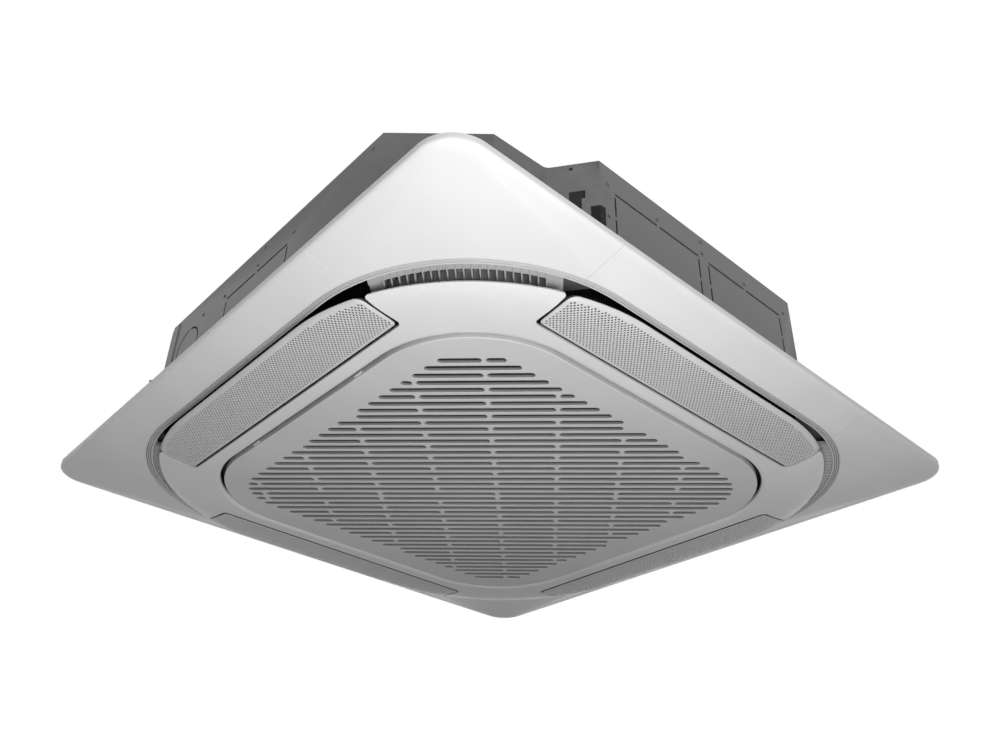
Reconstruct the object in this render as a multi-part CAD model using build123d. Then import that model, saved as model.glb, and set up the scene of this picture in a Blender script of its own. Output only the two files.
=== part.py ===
"""Ceiling cassette air conditioner, in millimetres.

The origin is the centre of the unit on the ceiling plane: the top of the panel's rim is at Z = 0, the casing
stands above it and the panel's face hangs below. The front side faces -Y, the right side +X.
Shapes that repeat round the panel are drawn for the front side, or for the corner between front and right,
and turned about Z by quarter turns.
"""
from build123d import *
from math import cos, radians, sin, sqrt
import os

os.makedirs("parts", exist_ok=True)

# ---------------------------------------------------------------- driving dimensions
# panel frame
panel_half = 475.0              # half of the 950 mm panel; the unit's other sizes in plan follow it
panel_corner_radius = 45.0
rim_height = 6.5                # straight band round the edge, from the ceiling down
rim_round_height = 5.8          # the edge rounds over this height below the band
rim_round_width = 12.0          # and comes in by this much
face_drop = 9.7                 # the face falls by this much from the rim's rounding to the outlet
frame_wall = 2.6
base_thickness = 3.0
base_drop = 2.0                 # the base plate lies this far below the rim's top
seal_height = 3.0
seal_width = 14.0
seal_half = panel_half - 17.0
seal_corner_radius = panel_corner_radius - 5.0
cover_seam = panel_half - 235.0 # the corner covers start this far from the middle of a side
seam_gap = 0.4

# stepped rim of the air outlet
outlet_half = panel_half - 47.0
outlet_corner_radius = 242.0
step_width = 2.6
step_rise = 0.3
step_groove = 1.0
groove_depth = 1.6
shelf_thickness = 2.5
step_count = 3
outlet_wall = 2.5
outlet_flange = 2.0
screw_along = panel_half - 285.0
screw_radius = 2.0
screw_head_radius = 4.0
screw_head_height = 2.4

# centre surround, its pillow shape shared with the blades
pillow_half = outlet_half - 6.0
pillow_corner_radius = 283.0
pillow_edge_z = -32.5
face_z = -40.0
flat_half = pillow_half - 57.0  # inside this the surround is flat
flat_corner_radius = 200.0
skin = 2.7

# openings in the surround
notch_inner = pillow_half - 76.3    # inner edge of a blade opening, from the centre
notch_half_length = pillow_half - 178.8
notch_flare = 3.6               # the opening is this much wider at its outer edge
notch_corner_radius = 7.0
lobe_tip_radius = 7.0
door_opening_half = notch_inner - 22.2
groove_gap = 6.0
soft_edge = 7.0                 # the surround curves up over this width towards the groove
soft_rise = 4.0
lip_height = 7.0
door_corner_centre = door_opening_half - 149.5  # grille and groove turn round this point

# centre tub, the inner wall of the outlets
tub_half = notch_inner - 8.7
tub_corner_radius = 153.0
tub_wall = 3.0

# air blades
blade_gap = 4.6
blade_end_gap = 3.7
blade_edge = 1.5                # thickness of a blade at its outer edge
blade_outer_corner = 15.0
blade_inner_corner = 5.0
blade_axis_in = 5.7             # hinge axis, from the blade's inner edge
blade_axis_z = -30.0
blade_pin_radius = 2.5
blade_ear = 6.5
running_clearance = 0.05
bearing_play = 1.3              # between a blade opening's end and its bearing
bearing_width = 7.5
bearing_height = 12.0
gear_motor_radius = 12.0
gear_motor_offset = 6.0
gear_motor_length = 17.0

# fins in the corner outlets
fin_count = 21
fin_pitch = 8.7
fin_thickness = 1.6
fin_low_z = -21.1
comb_depth = 34.0
comb_rail = 3.0
comb_bar_width = 9.5            # a flat bar crosses behind the fins, next to the stepped rim
comb_bar_gap = 0.8
comb_bar_low = -20.0
comb_bar_high = -17.5
comb_end = 17.0                 # a plain plate closes the corner outlet beyond the last fin
comb_end_low = -16.0
comb_end_thickness = 2.0
comb_bridge = 24.0

# intake grille
grille_thickness = 2.5
grille_rim_height = 10.0
grille_rim_wall = 2.0
slot_rows = 44
slot_pitch = 15.976
slot_width = 9.8
slot_field_half = door_opening_half - 51.0
slot_field_radius = 70.0
rib_pitch = 87.43
rib_width = 5.0
rib_offset = 14.0               # the middle column of ribs stands this far off the diagonal
hinge_axis_in = 8.5             # grille hinge axis, from the grille's edge
hinge_axis_z = -31.0
hinge_pin_radius = 3.0
hinge_place = 150.0
hinge_arm = 8.0
hinge_eye_radius = 4.5
latch_place = 120.0
latch_width = 14.0
latch_thickness = 3.0
latch_proud = 2.0
latch_length = 20.0
latch_play = 0.3

# air filter on the grille
filter_half = door_opening_half - 33.5
filter_corner_radius = 110.0
filter_height = 5.0
filter_frame = 9.0
filter_bar = 4.0
filter_net = 0.6
pad_height = 3.5
pad_place = 90.0

# casing
sheet = 1.2
casing_half = panel_half - 55.0
casing_height = 175.0
casing_flange = 14.0
front_wall_left = 170.0 - casing_half
front_wall_right = casing_half - 141.0
recess_corner = (casing_half - 55.0, 94.0 - casing_half)
recess_inner = (casing_half - 52.0, 175.0 - casing_half)
right_wall_front = 212.0 - casing_half
right_wall_back = casing_half - 234.0
left_wall_reach = casing_half - 190.0
end_flange_width = 20.5
knockout_slit = 2.8
knockout_bridge = 5.0
duct_knockout_low = 28.0
duct_knockout_high = 139.0
round_knockout_radius = 33.0
cable_hole_radius = 12.0
cable_bore = 6.0
front_knockout = (-75.0, 82.0)
round_knockout_place = (-184.0, 107.0)
right_knockout_gap = (-23.0, -2.5)
step_window = (22.3, 36.6)      # a cut-out in the slanted wall, along it and in height
step_window_heights = (100.0, 132.0)
step_window_arm = (17.7, 22.3)  # its upper part reaches further
step_window_arm_low = 120.0
step_hole_radius = 2.4
step_hole_place = 33.9
recess_bend = 12.0              # the sheet bends round this radius between slanted wall and pipe recess
corner_notch = 10.0
corner_notch_heights = (60.0, 106.0)
cable_entry_z = 60.0
rivet_radius = 2.2
rivet_height = 1.2
top_bead = 2.0

# foam and drain pan
liner_thickness = 14.0
top_foam = 17.0
pan_half = casing_half - 75.0
pan_corner_radius = 110.0
pan_height = 30.0
pan_floor = 12.0
pan_wall = 7.0
pan_dam_half = pan_half - 73.0

# heat exchanger
coil_half = casing_half - 85.0
coil_depth = 50.0
coil_corner_radius = 100.0
coil_end_front = coil_half - 205.0  # the front leg ends at this X
coil_end_right = 185.0 - coil_half  # the right leg ends at this Y
tube_radius = 4.8
tube_rows = 6
tube_pitch = 21.0
tube_column_pitch = 26.0

# fan, motor and bell mouth
fan_radius = 220.0
fan_inlet_radius = fan_radius - 17.0
throat_radius = fan_inlet_radius - 3.0
bell_height = 44.0
bell_flange_radius = throat_radius + 75.0
bell_wall = 2.0
bell_split = 6.0                # flange ring and throat collar are two mouldings that meet at this height
pan_bore_radius = bell_flange_radius - 23.0
fan_blade_inner = fan_radius - 70.0
fan_blades = 7
fan_blade_wall = 3.0
fan_low = 40.0
fan_back_z = 146.0
fan_plate = 2.5
hub_radius = 18.0
hub_low = 78.0
hub_high = 100.0
dish_low = 85.0
dish_floor_radius = 88.0
dish_top_radius = 105.0
shaft_radius = 6.0
shaft_low = 62.0
shaft_high = 124.0
motor_radius = 78.0
motor_low = 104.0
motor_high = 154.0
mount_circle = 92.0
mount_bolt_radius = 4.0
bush_radius = 11.0
bracket_plate = 2.5
bracket_arm = 26.0

# drain pump and float switch
pump_place = (coil_half - 55.0, 47.0 - coil_half)
pump_radius = 28.0
pump_high = 80.0
pump_motor_radius = 18.0
pump_motor_high = 112.0
impeller_radius = 14.0
float_place = (coil_half - 99.0, 35.0 - coil_half)
float_radius = 12.0
float_travel = 8.0
float_stem_radius = 4.0
float_low = 17.0
float_high = 33.0

# pipes
gas_radius = 7.94
liquid_radius = 4.76
drain_pipe_radius = 13.0
drain_pipe_bore = 10.0
drain_socket_radius = 16.0
drain_socket_bore = 12.7
drain_socket_length = 27.0
drain_reach = casing_half - 25.0
gas_header = (coil_half - 38.0, 123.0 - coil_half)
gas_header_radius = 11.0
liquid_header = (coil_half - 145.0, 25.0 - coil_half)
liquid_header_radius = 9.0
gas_exit = (152.0 - casing_half, 72.0)  # Y and Z where each pipe leaves through the recess wall
liquid_exit = (123.0 - casing_half, 50.0)
drain_exit_y = 117.0 - casing_half
drain_height = 95.0
pipe_turn_x = casing_half - 90.0    # the pipes turn outwards beyond the drain pump
pipe_reach = casing_half - 34.0
pipe_play = 0.3
union_length = 24.0
union_nut_length = 10.0

# control box
box_length = 276.0
box_near = door_opening_half - 99.5
box_far = box_near + 80.0
box_depth = 22.0
board_thickness = 1.6
board_lift = 6.0

# hanger brackets
hanger_x = casing_half - 30.0
hanger_y = casing_half - 78.0
hanger_z = 80.0
hanger_plate = 3.0
hanger_slot_length = 30.0
hanger_slot_width = 12.0
hanger_strip = 20.0
hanger_leg = 42.0
hanger_foot = 32.0
hanger_slot_edge = 8.0

# ---------------------------------------------------------------- helpers
QUARTER = (0, 90, 180, 270)
SIDES = ("front", "right", "back", "left")
CORNERS = ("front_right", "back_right", "back_left", "front_left")


def save(name, shape):
    export_step(shape, "parts/" + name + ".step")


def solid(sketch, low, high):
    """Stand a flat outline up between two heights."""
    return extrude(Pos(0, 0, low) * sketch, amount=high - low, dir=(0, 0, 1))


def rounded_square(half, radius):
    return RectangleRounded(2 * half, 2 * half, radius)


def square_ring(half, radius, wall, low, high):
    return solid(rounded_square(half, radius) - rounded_square(half - wall, radius - wall), low, high)


def block(x0, x1, y0, y1, z0, z1):
    centre = Pos((x0 + x1) / 2, (y0 + y1) / 2, (z0 + z1) / 2)
    return centre * Box(x1 - x0, y1 - y0, z1 - z0)


def rod_x(radius, x0, x1, y, z):
    return Pos((x0 + x1) / 2, y, z) * Rot(0, 90, 0) * Cylinder(radius, x1 - x0)


def rod_z(radius, x, y, z0, z1):
    return Pos(x, y, (z0 + z1) / 2) * Cylinder(radius, z1 - z0)


def turned(points):
    """Turn a profile of (radius, height) points about the Z axis."""
    profile = make_face(Polyline([(r, 0, z) for r, z in points], close=True))
    return revolve(profile, Axis.Z)


def lofted(sections):
    """Loft rounded squares given as (half, corner radius, height)."""
    return loft([Pos(0, 0, z) * rounded_square(half, radius) for half, radius, z in sections])


def tube(points, bend, radius):
    """A round pipe along straight runs with rounded bends."""
    path = FilletPolyline(*points, radius=bend)
    start = Plane(origin=path @ 0, z_dir=path % 0)
    return sweep(start * Circle(radius), path=path)


def group(shapes):
    return Compound(children=list(shapes))


# ---------------------------------------------------------------- panel frame and corner covers
def dome(shrink, raise_by):
    """The frame's outer form: the rounding of the rim and the face that falls to the outlet."""
    rim_low = -rim_height + raise_by
    shoulder = rim_low - rim_round_height
    steps = ((0.0, 0.0), (1.1, 0.4), (4.7, 0.74), (rim_round_width, 1.0))
    rounding = [(panel_half - shrink - inset, panel_corner_radius - shrink - inset,
                 rim_low - rim_round_height * share) for inset, share in steps]
    outer = (rounding[-1][0], rounding[-1][1])
    inner = (outlet_half - shrink, outlet_corner_radius - shrink)
    face = []
    for share in (0.0, 0.25, 0.5, 0.75, 1.0):
        half = outer[0] + (inner[0] - outer[0]) * share
        radius = outer[1] + (inner[1] - outer[1]) * share
        fall = face_drop * (0.85 * share + 0.15 * share * share)
        face.append((half, radius, shoulder - fall))
    return lofted(rounding) + lofted(face), rim_low


outer_dome, outer_rim_low = dome(0.0, 0.0)
inner_dome, inner_rim_low = dome(frame_wall, frame_wall)
outer_dome += solid(rounded_square(panel_half, panel_corner_radius), outer_rim_low, 0)
inner_half = panel_half - frame_wall
inner_dome += solid(rounded_square(inner_half, panel_corner_radius - frame_wall), inner_rim_low, 1.0)
outlet_low_z = outer_rim_low - rim_round_height - face_drop
outlet_prism = solid(rounded_square(outlet_half, outlet_corner_radius), outlet_low_z - 5, 5)
frame_skin = outer_dome - inner_dome - outlet_prism

wall_half = outlet_half - step_count * step_width
wall_radius = outlet_corner_radius - step_count * step_width
base_plate = solid(rounded_square(inner_half, panel_corner_radius - frame_wall)
                   - rounded_square(wall_half, wall_radius), -base_drop - base_thickness, -base_drop)
base_plate &= inner_dome

cover_block = block(cover_seam, panel_half + 1, -panel_half - 1, -cover_seam, outlet_low_z - 5, 5)
cut_low = cover_seam - seam_gap
cover_room = block(cut_low, panel_half + 1, -panel_half - 1, -cut_low, outlet_low_z - 5, 5)
corner_cover = frame_skin & cover_block
frame_sides = frame_skin
for turn in QUARTER:
    frame_sides -= Rot(0, 0, turn) * cover_room
panel_frame = frame_sides + base_plate
save("panel_frame", panel_frame)
for turn, corner in zip(QUARTER, CORNERS):
    save("corner_cover_" + corner, Rot(0, 0, turn) * corner_cover)

seal = square_ring(seal_half, seal_corner_radius, seal_width, -base_drop, seal_height - base_drop)
save("ceiling_seal", seal)

# ---------------------------------------------------------------- casing outline of casing, liner and rim
casing_points = (
    (front_wall_right, -casing_half), recess_corner, recess_inner, (casing_half, right_wall_front),
    (casing_half, right_wall_back), (front_wall_right, casing_half), (front_wall_left, casing_half),
    (-casing_half, left_wall_reach), (-casing_half, -left_wall_reach), (front_wall_left, -casing_half),
)
wall_count = len(casing_points)


def inset_corner(index, amount):
    """A corner of the outline after all its walls have moved in by the same amount."""
    before, corner, after = (Vector(*casing_points[(index + step) % wall_count]) for step in (-1, 0, 1))
    first = (corner - before).normalized()
    second = (after - corner).normalized()
    inward = Vector(-first.Y - second.Y, first.X + second.X)
    moved = corner + inward * (amount / (1 + first.dot(second)))
    return moved.X, moved.Y


def casing_inset(amount):
    """The casing's outline moved in, with a bend where the wall turns outwards beside the pipe recess."""
    outline = Polygon(*(inset_corner(index, amount) for index in range(wall_count)), align=None)
    bend = outline.vertices().sort_by_distance(inset_corner(casing_points.index(recess_inner), amount))[0]
    return fillet(bend, recess_bend + amount)


def wall_region(index, outer, inner):
    """The strip along one wall, mitred at both ends, between two insets."""
    last = (index + 1) % wall_count
    return Polygon(inset_corner(index, outer), inset_corner(last, outer), inset_corner(last, inner),
                   inset_corner(index, inner), align=None)


casing_outline = casing_inset(0.0)


# ---------------------------------------------------------------- stepped rim of the outlet
def outlet_rim():
    shelf_z = outlet_low_z + step_count * step_rise + shelf_thickness
    rim = None
    for index in range(step_count):
        half = outlet_half - index * step_width
        radius = outlet_corner_radius - index * step_width
        low = outlet_low_z + index * step_rise
        land = square_ring(half, radius, step_width - step_groove, low, shelf_z)
        groove = square_ring(half - step_width + step_groove, radius - step_width + step_groove,
                             step_groove, low + groove_depth, shelf_z)
        rim = land + groove if rim is None else rim + land + groove
    wall = square_ring(wall_half, wall_radius, outlet_wall, shelf_z - shelf_thickness, 0)
    flange = solid(rounded_square(wall_half, wall_radius) - casing_inset(casing_flange), -outlet_flange, 0)
    return rim + wall + flange


rim_piece = outlet_rim()
screw_line = casing_half - casing_flange / 2
screw_places = [(along, -screw_line) for along in (-screw_along, screw_along)]
screw_holes = []
screws = []
for turn in QUARTER:
    for x, y in screw_places:
        screw_holes.append(Rot(0, 0, turn) * rod_z(screw_radius, x, y, -outlet_flange - 1, sheet + 1))
        shank = rod_z(screw_radius, x, y, -outlet_flange, sheet)
        head = rod_z(screw_head_radius, x, y, -outlet_flange - screw_head_height, -outlet_flange)
        cross = block(x - 2.2, x + 2.2, y - 0.4, y + 0.4, -outlet_flange - 3,
                      -outlet_flange - screw_head_height / 2)
        screws.append(Rot(0, 0, turn) * (shank + head - cross))
for hole in screw_holes:
    rim_piece -= hole
save("outlet_rim", rim_piece)
save("panel_screws", group(screws))


# ---------------------------------------------------------------- centre tub and surround
tub = square_ring(tub_half, tub_corner_radius, tub_wall, face_z + skin, 0)
save("centre_tub", tub)

pillow_steps = ((0.0, 0.0), (0.1, 0.28), (0.26, 0.54), (0.52, 0.8), (1.0, 1.0))


def pillow(shrink, raise_by):
    """The shallow cushion form shared by surround and blades, with a flat underside."""
    sections = []
    for inset, share in pillow_steps:
        half = pillow_half + (flat_half - pillow_half) * inset - shrink
        radius = pillow_corner_radius + (flat_corner_radius - pillow_corner_radius) * inset - shrink
        sections.append((half, radius, pillow_edge_z + (face_z - pillow_edge_z) * share + raise_by))
    return lofted(sections)


pillow_outline = rounded_square(pillow_half, pillow_corner_radius)
pillow_body = pillow(0, 0) + solid(pillow_outline, pillow_edge_z, pillow_edge_z + blade_edge)
pillow_hollow = pillow(0.5, skin) + solid(rounded_square(pillow_half + 1, pillow_corner_radius),
                                          pillow_edge_z + skin, pillow_edge_z + 20)


def notch_outline(gap, end_gap):
    """A blade opening seen from below, or with gaps the blade that fills it."""
    inner = notch_inner + gap
    half = notch_half_length - end_gap
    outer = pillow_half + 4 * (1 if gap == 0 else 0)
    return Polygon((-half, -inner), (half, -inner), (half + notch_flare, -outer),
                   (-half - notch_flare, -outer), align=None)


def corners_between(sketch, near, far):
    """Corner points of an outline whose distance from the front-to-back axis lies in a range."""
    return [v for v in sketch.vertices() if near < -v.Y < far]


notch = notch_outline(0, 0)
notch = fillet(corners_between(notch, notch_inner - 1, notch_inner + 1), notch_corner_radius)
surround_plan = pillow_outline
for turn in QUARTER:
    surround_plan -= Rot(0, 0, turn) * notch
tips = [v for v in surround_plan.vertices()
        if min(abs(v.X), abs(v.Y)) > notch_half_length and max(abs(v.X), abs(v.Y)) > notch_inner + 30]
surround_plan = fillet(tips, lobe_tip_radius)
door_radius = door_opening_half - door_corner_centre
surround_plan -= rounded_square(door_opening_half, door_radius)
surround = (pillow_body - pillow_hollow) & solid(surround_plan, face_z - 1, 0)
surround += square_ring(door_opening_half + soft_edge + 2, door_radius + soft_edge + 2, soft_edge + 2,
                        face_z + skin - 0.5, face_z + lip_height)
soft_sections = [(door_opening_half + soft_edge * (1 - sin(radians(angle))),
                  door_radius + soft_edge * (1 - sin(radians(angle))),
                  face_z + soft_rise * (1 - cos(radians(angle)))) for angle in (0, 25, 50, 90)]
surround -= lofted(soft_sections)
save("centre_surround", surround)

# ---------------------------------------------------------------- air blades
blade_inner = notch_inner + blade_gap
blade_half = notch_half_length - blade_end_gap
blade_axis = blade_inner + blade_axis_in
blade_plan = notch_outline(blade_gap, blade_end_gap) & pillow_outline
blade_plan = fillet(corners_between(blade_plan, blade_inner - 1, blade_inner + 1), blade_inner_corner)
outer_corners = [v for v in blade_plan.vertices() if abs(v.X) > blade_half and -v.Y > blade_inner + 30]
blade_plan = fillet(outer_corners, blade_outer_corner)
blade = pillow_body & solid(blade_plan, face_z - 1, 0)
bearing_inner = notch_half_length + bearing_play
bearing_outer = bearing_inner + bearing_width
drive_end = bearing_outer + 6.0
for end in (-1, 1):
    ear_out = end * blade_half
    ear_in = end * (blade_half - blade_ear)
    x0, x1 = min(ear_in, ear_out), max(ear_in, ear_out)
    top = blade_axis_z + 4.5
    blade += block(x0, x1, -blade_axis - 5, -blade_axis + 5, pillow_edge_z - 1, top)
pin_end = {-1: -bearing_outer, 1: drive_end}
for end in (-1, 1):
    x0, x1 = sorted((end * (blade_half - 3), pin_end[end]))
    blade += rod_x(blade_pin_radius, x0, x1, -blade_axis, blade_axis_z)
for turn, side in zip(QUARTER, SIDES):
    save("air_blade_" + side, Rot(0, 0, turn) * blade)

bearings = []
gear_motors = []
tub_core = solid(rounded_square(tub_half, tub_corner_radius), face_z, 0)
bore = blade_pin_radius + running_clearance
for turn in QUARTER:
    for end in (-1, 1):
        x0, x1 = sorted((end * bearing_inner, end * bearing_outer))
        bearing = block(x0, x1, -blade_axis - 6, -tub_half + 30, blade_axis_z - 6,
                        blade_axis_z - 6 + bearing_height)
        bearing -= rod_x(bore, x0 - 1, x1 + 1, -blade_axis, blade_axis_z) + tub_core
        bearings.append(Rot(0, 0, turn) * bearing)
    can_z = blade_axis_z + gear_motor_offset
    can = rod_x(gear_motor_radius, bearing_outer, bearing_outer + gear_motor_length, -blade_axis, can_z)
    can += block(bearing_outer + 4, bearing_outer + gear_motor_length - 3, -blade_axis - 8,
                 -blade_axis + 8, can_z, can_z + gear_motor_radius + 3)
    can -= rod_x(bore, bearing_outer - 1, drive_end + 0.5, -blade_axis, blade_axis_z)
    gear_motors.append(Rot(0, 0, turn) * can)
save("blade_bearings", group(bearings))
save("blade_motors", group(gear_motors))


# ---------------------------------------------------------------- fin combs in the corner outlets
def fin_comb():
    """Fins across the corner outlet, drawn on the diagonal and turned to the front right corner."""
    wall_inner = wall_radius - outlet_wall
    corner_centre = -(wall_half - wall_radius) * sqrt(2)
    half_width = (fin_count - 1) / 2 * fin_pitch + fin_thickness / 2
    inner_radius = wall_inner - comb_depth
    depth = wall_inner + 20

    def disc(radius):
        return Pos(0, corner_centre) * Circle(radius)

    def window(reach):
        return Pos(0, corner_centre - depth / 2) * Rectangle(2 * reach, depth)

    band = (disc(wall_inner) - disc(inner_radius)) & window(half_width + comb_end)
    inner_rail = band & disc(inner_radius + comb_rail)
    outer_rail = band - disc(wall_inner - comb_rail)
    bar = (band & disc(wall_inner - comb_bar_gap)) - disc(wall_inner - comb_bar_width)
    comb = solid(inner_rail, comb_end_low, -outlet_flange) + solid(outer_rail, comb_bar_high, -outlet_flange)
    comb += solid(bar, comb_bar_low, comb_bar_high + 0.5)
    comb += solid(band - window(half_width), comb_end_low, comb_end_low + comb_end_thickness)
    blades = None
    for index in range(fin_count):
        u = (index - (fin_count - 1) / 2) * fin_pitch
        strip = band & (Pos(u, corner_centre - depth / 2) * Rectangle(fin_thickness, depth))
        blades = strip if blades is None else blades + strip
    comb += solid(blades, fin_low_z, -outlet_flange)
    tub_face = (tub_half - tub_corner_radius) * sqrt(2) + tub_corner_radius
    arm_end = -corner_centre + inner_radius + comb_rail / 2
    tub_circle = Pos(0, -(tub_half - tub_corner_radius) * sqrt(2)) * Circle(tub_corner_radius)
    arm = Pos(0, -(tub_face + arm_end) / 2) * Rectangle(comb_bridge, arm_end - tub_face + 8)
    comb += solid(arm - tub_circle, -outlet_flange - 3, -outlet_flange)
    return Rot(0, 0, 45) * comb


comb = fin_comb()
for turn, corner in zip(QUARTER, CORNERS):
    save("fin_comb_" + corner, Rot(0, 0, turn) * comb)


# ---------------------------------------------------------------- intake grille
grille_half = door_opening_half - groove_gap
grille_radius = grille_half - door_corner_centre
grille_top = face_z + grille_thickness


def row_reach(v):
    """Half length of a slot row that crosses the diagonal at v, within the rounded field."""
    radius = slot_field_radius
    corner = (slot_field_half - radius) * sqrt(2)
    v = abs(v)
    if v < radius / sqrt(2):
        return corner + sqrt(radius ** 2 - v ** 2)
    if v > corner + radius / sqrt(2):
        return sqrt(max(radius ** 2 - (v - corner) ** 2, 0))
    return slot_field_half * sqrt(2) - v


def row_ribs(row):
    """Ribs stand in every second column, and change over from one row to the next."""
    shift = row if row < slot_rows / 2 + 1 else row + 1
    return [rib_offset + column * rib_pitch for column in range(-4, 5) if (column + shift) % 2 == 0]


def slot_field():
    slots = []
    for row in range(slot_rows):
        v = (row - (slot_rows - 1) / 2) * slot_pitch
        reach = row_reach(v)
        edges = [-reach]
        for rib in row_ribs(row):
            if abs(rib) < reach:
                edges += [rib - rib_width / 2, rib + rib_width / 2]
        edges.append(reach)
        for start, stop in zip(edges[0::2], edges[1::2]):
            if stop - start > slot_width + 0.5:
                slots.append(Pos((start + stop) / 2, v) * SlotOverall(stop - start, slot_width))
    return Rot(0, 0, 45) * Sketch(children=slots)


hinge_y = grille_half - hinge_axis_in
grille = solid(rounded_square(grille_half, grille_radius), face_z, grille_top)
cutters = [extrude(Pos(0, 0, face_z - 1) * face, amount=grille_thickness + 2)
           for face in slot_field().faces()]
grille = grille.cut(*cutters)
rim_wall = square_ring(grille_half, grille_radius, grille_rim_wall, face_z, face_z + grille_rim_height)
for x in (-hinge_place, hinge_place):
    rim_wall -= block(x - 16, x + 16, hinge_y, grille_half + 1, grille_top, 0)
latch_low = grille_top + 1.0
latch_high = latch_low + latch_thickness
for x in (-latch_place, latch_place):
    reach = latch_width / 2 + latch_play
    rim_wall -= block(x - reach, x + reach, -grille_half - 1, -grille_half + 4,
                      latch_low - latch_play, latch_high + latch_play)
grille = Part() + grille + rim_wall
for x in (-latch_place, latch_place):
    for end in (-1, 1):
        inner = x + end * (latch_width / 2 + latch_play)
        outer = inner + end * grille_rim_wall
        x0, x1 = sorted((inner, outer))
        grille += block(x0, x1, -grille_half + grille_rim_wall, -grille_half + latch_length - 2,
                        grille_top - 0.5, latch_high + 0.5)
for x in (-hinge_place, hinge_place):
    for end in (-1, 1):
        x0, x1 = sorted((x + end * (hinge_arm / 2 + 0.5), x + end * (hinge_arm / 2 + 7)))
        ear = block(x0, x1, hinge_y - hinge_eye_radius, hinge_y + hinge_eye_radius,
                    grille_top - 0.5, hinge_axis_z)
        grille += ear + rod_x(hinge_eye_radius, x0, x1, hinge_y, hinge_axis_z)
    grille += rod_x(hinge_pin_radius, x - hinge_arm, x + hinge_arm, hinge_y, hinge_axis_z)
pad_line = filter_half - filter_frame / 2
for turn in QUARTER:
    for along in (-pad_place, pad_place):
        pad = block(along - 10, along + 10, -pad_line - 3, -pad_line + 3,
                    grille_top - 0.5, grille_top + pad_height)
        grille += Rot(0, 0, turn) * pad
save("intake_grille", grille)

hinge_arms = []
for x in (-hinge_place, hinge_place):
    arm = block(x - hinge_arm / 2, x + hinge_arm / 2, hinge_y - hinge_eye_radius, hinge_y + hinge_eye_radius,
                hinge_axis_z, -outlet_flange)
    arm += rod_x(hinge_eye_radius, x - hinge_arm / 2, x + hinge_arm / 2, hinge_y, hinge_axis_z)
    arm += block(x - hinge_arm / 2, x + hinge_arm / 2, hinge_y, tub_half - tub_wall, -14, -outlet_flange)
    arm -= rod_x(hinge_pin_radius + running_clearance, x - hinge_arm, x + hinge_arm, hinge_y, hinge_axis_z)
    hinge_arms.append(arm)
save("grille_hinges", group(hinge_arms))

latch_back = -grille_half + latch_length
for x, side in ((-latch_place, "left"), (latch_place, "right")):
    half = latch_width / 2
    bolt = block(x - half, x + half, -grille_half - latch_proud, latch_back, latch_low, latch_high)
    bolt += block(x - 3, x + 3, latch_back - 6, latch_back - 2, latch_high, latch_high + 3)
    save("grille_latch_" + side, bolt)

# ---------------------------------------------------------------- air filter
filter_low = grille_top + pad_height
filter_inner = filter_half - filter_frame
frame_band = square_ring(filter_half, filter_corner_radius, filter_frame,
                         filter_low, filter_low + filter_height)
window = rounded_square(filter_inner, filter_corner_radius - filter_frame)
bars = None
for place in (-filter_inner / 2, 0, filter_inner / 2):
    for bar in (Pos(place, 0) * Rectangle(filter_bar, 2 * filter_half),
                Pos(0, place) * Rectangle(2 * filter_half, filter_bar)):
        bars = bar if bars is None else bars + bar
frame_band += solid(bars & window, filter_low + filter_net, filter_low + filter_height)
save("filter_frame", frame_band)
save("filter_net", solid(window, filter_low, filter_low + filter_net))


# ---------------------------------------------------------------- casing
def dashes(low, high, count):
    """Cut lengths of a knock-out's edge, with bridges between them."""
    length = (high - low - knockout_bridge * (count - 1)) / count
    return [(low + i * (length + knockout_bridge), low + i * (length + knockout_bridge) + length)
            for i in range(count)]


def duct_knockout(left, right, low, high):
    """Slits round a knock-out plate in the front wall, where the wall is plane."""
    y0, y1 = -casing_half - 2, -casing_half + sheet + 0.5
    slits = []
    for z in (low, high):
        for x0, x1 in dashes(left, right, 2):
            slits.append(block(x0, x1, y0, y1, z - knockout_slit / 2, z + knockout_slit / 2))
    for x in (left, right):
        for z0, z1 in dashes(low + knockout_bridge, high - knockout_bridge, 3):
            slits.append(block(x - knockout_slit / 2, x + knockout_slit / 2, y0, y1, z0, z1))
    return slits


def round_knockout(x, z):
    ring = Circle(round_knockout_radius) - Circle(round_knockout_radius - knockout_slit)
    for angle in (30, 150, 270):
        ring -= Rot(0, 0, angle) * (Pos(round_knockout_radius, 0) * Rectangle(12, knockout_bridge))
    wall_plane = Plane(origin=(x, -casing_half - 2, z), x_dir=(1, 0, 0), z_dir=(0, 1, 0))
    return [extrude(wall_plane * face, amount=sheet + 2.5) for face in ring.faces()]


step_length = sqrt((casing_half - recess_inner[0]) ** 2 + (right_wall_front - recess_inner[1]) ** 2)
step_dir = ((recess_inner[0] - casing_half) / step_length, (recess_inner[1] - right_wall_front) / step_length)


def on_step(along):
    """A point on the slanted wall between right wall and pipe recess."""
    return casing_half + step_dir[0] * along, right_wall_front + step_dir[1] * along


def step_cut(start, stop, low, high):
    x, y = on_step((start + stop) / 2)
    plane = Plane(origin=(x, y, (low + high) / 2), x_dir=(step_dir[0], step_dir[1], 0), z_dir=(0, 0, 1))
    return plane * Box(stop - start, 6, high - low)


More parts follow.
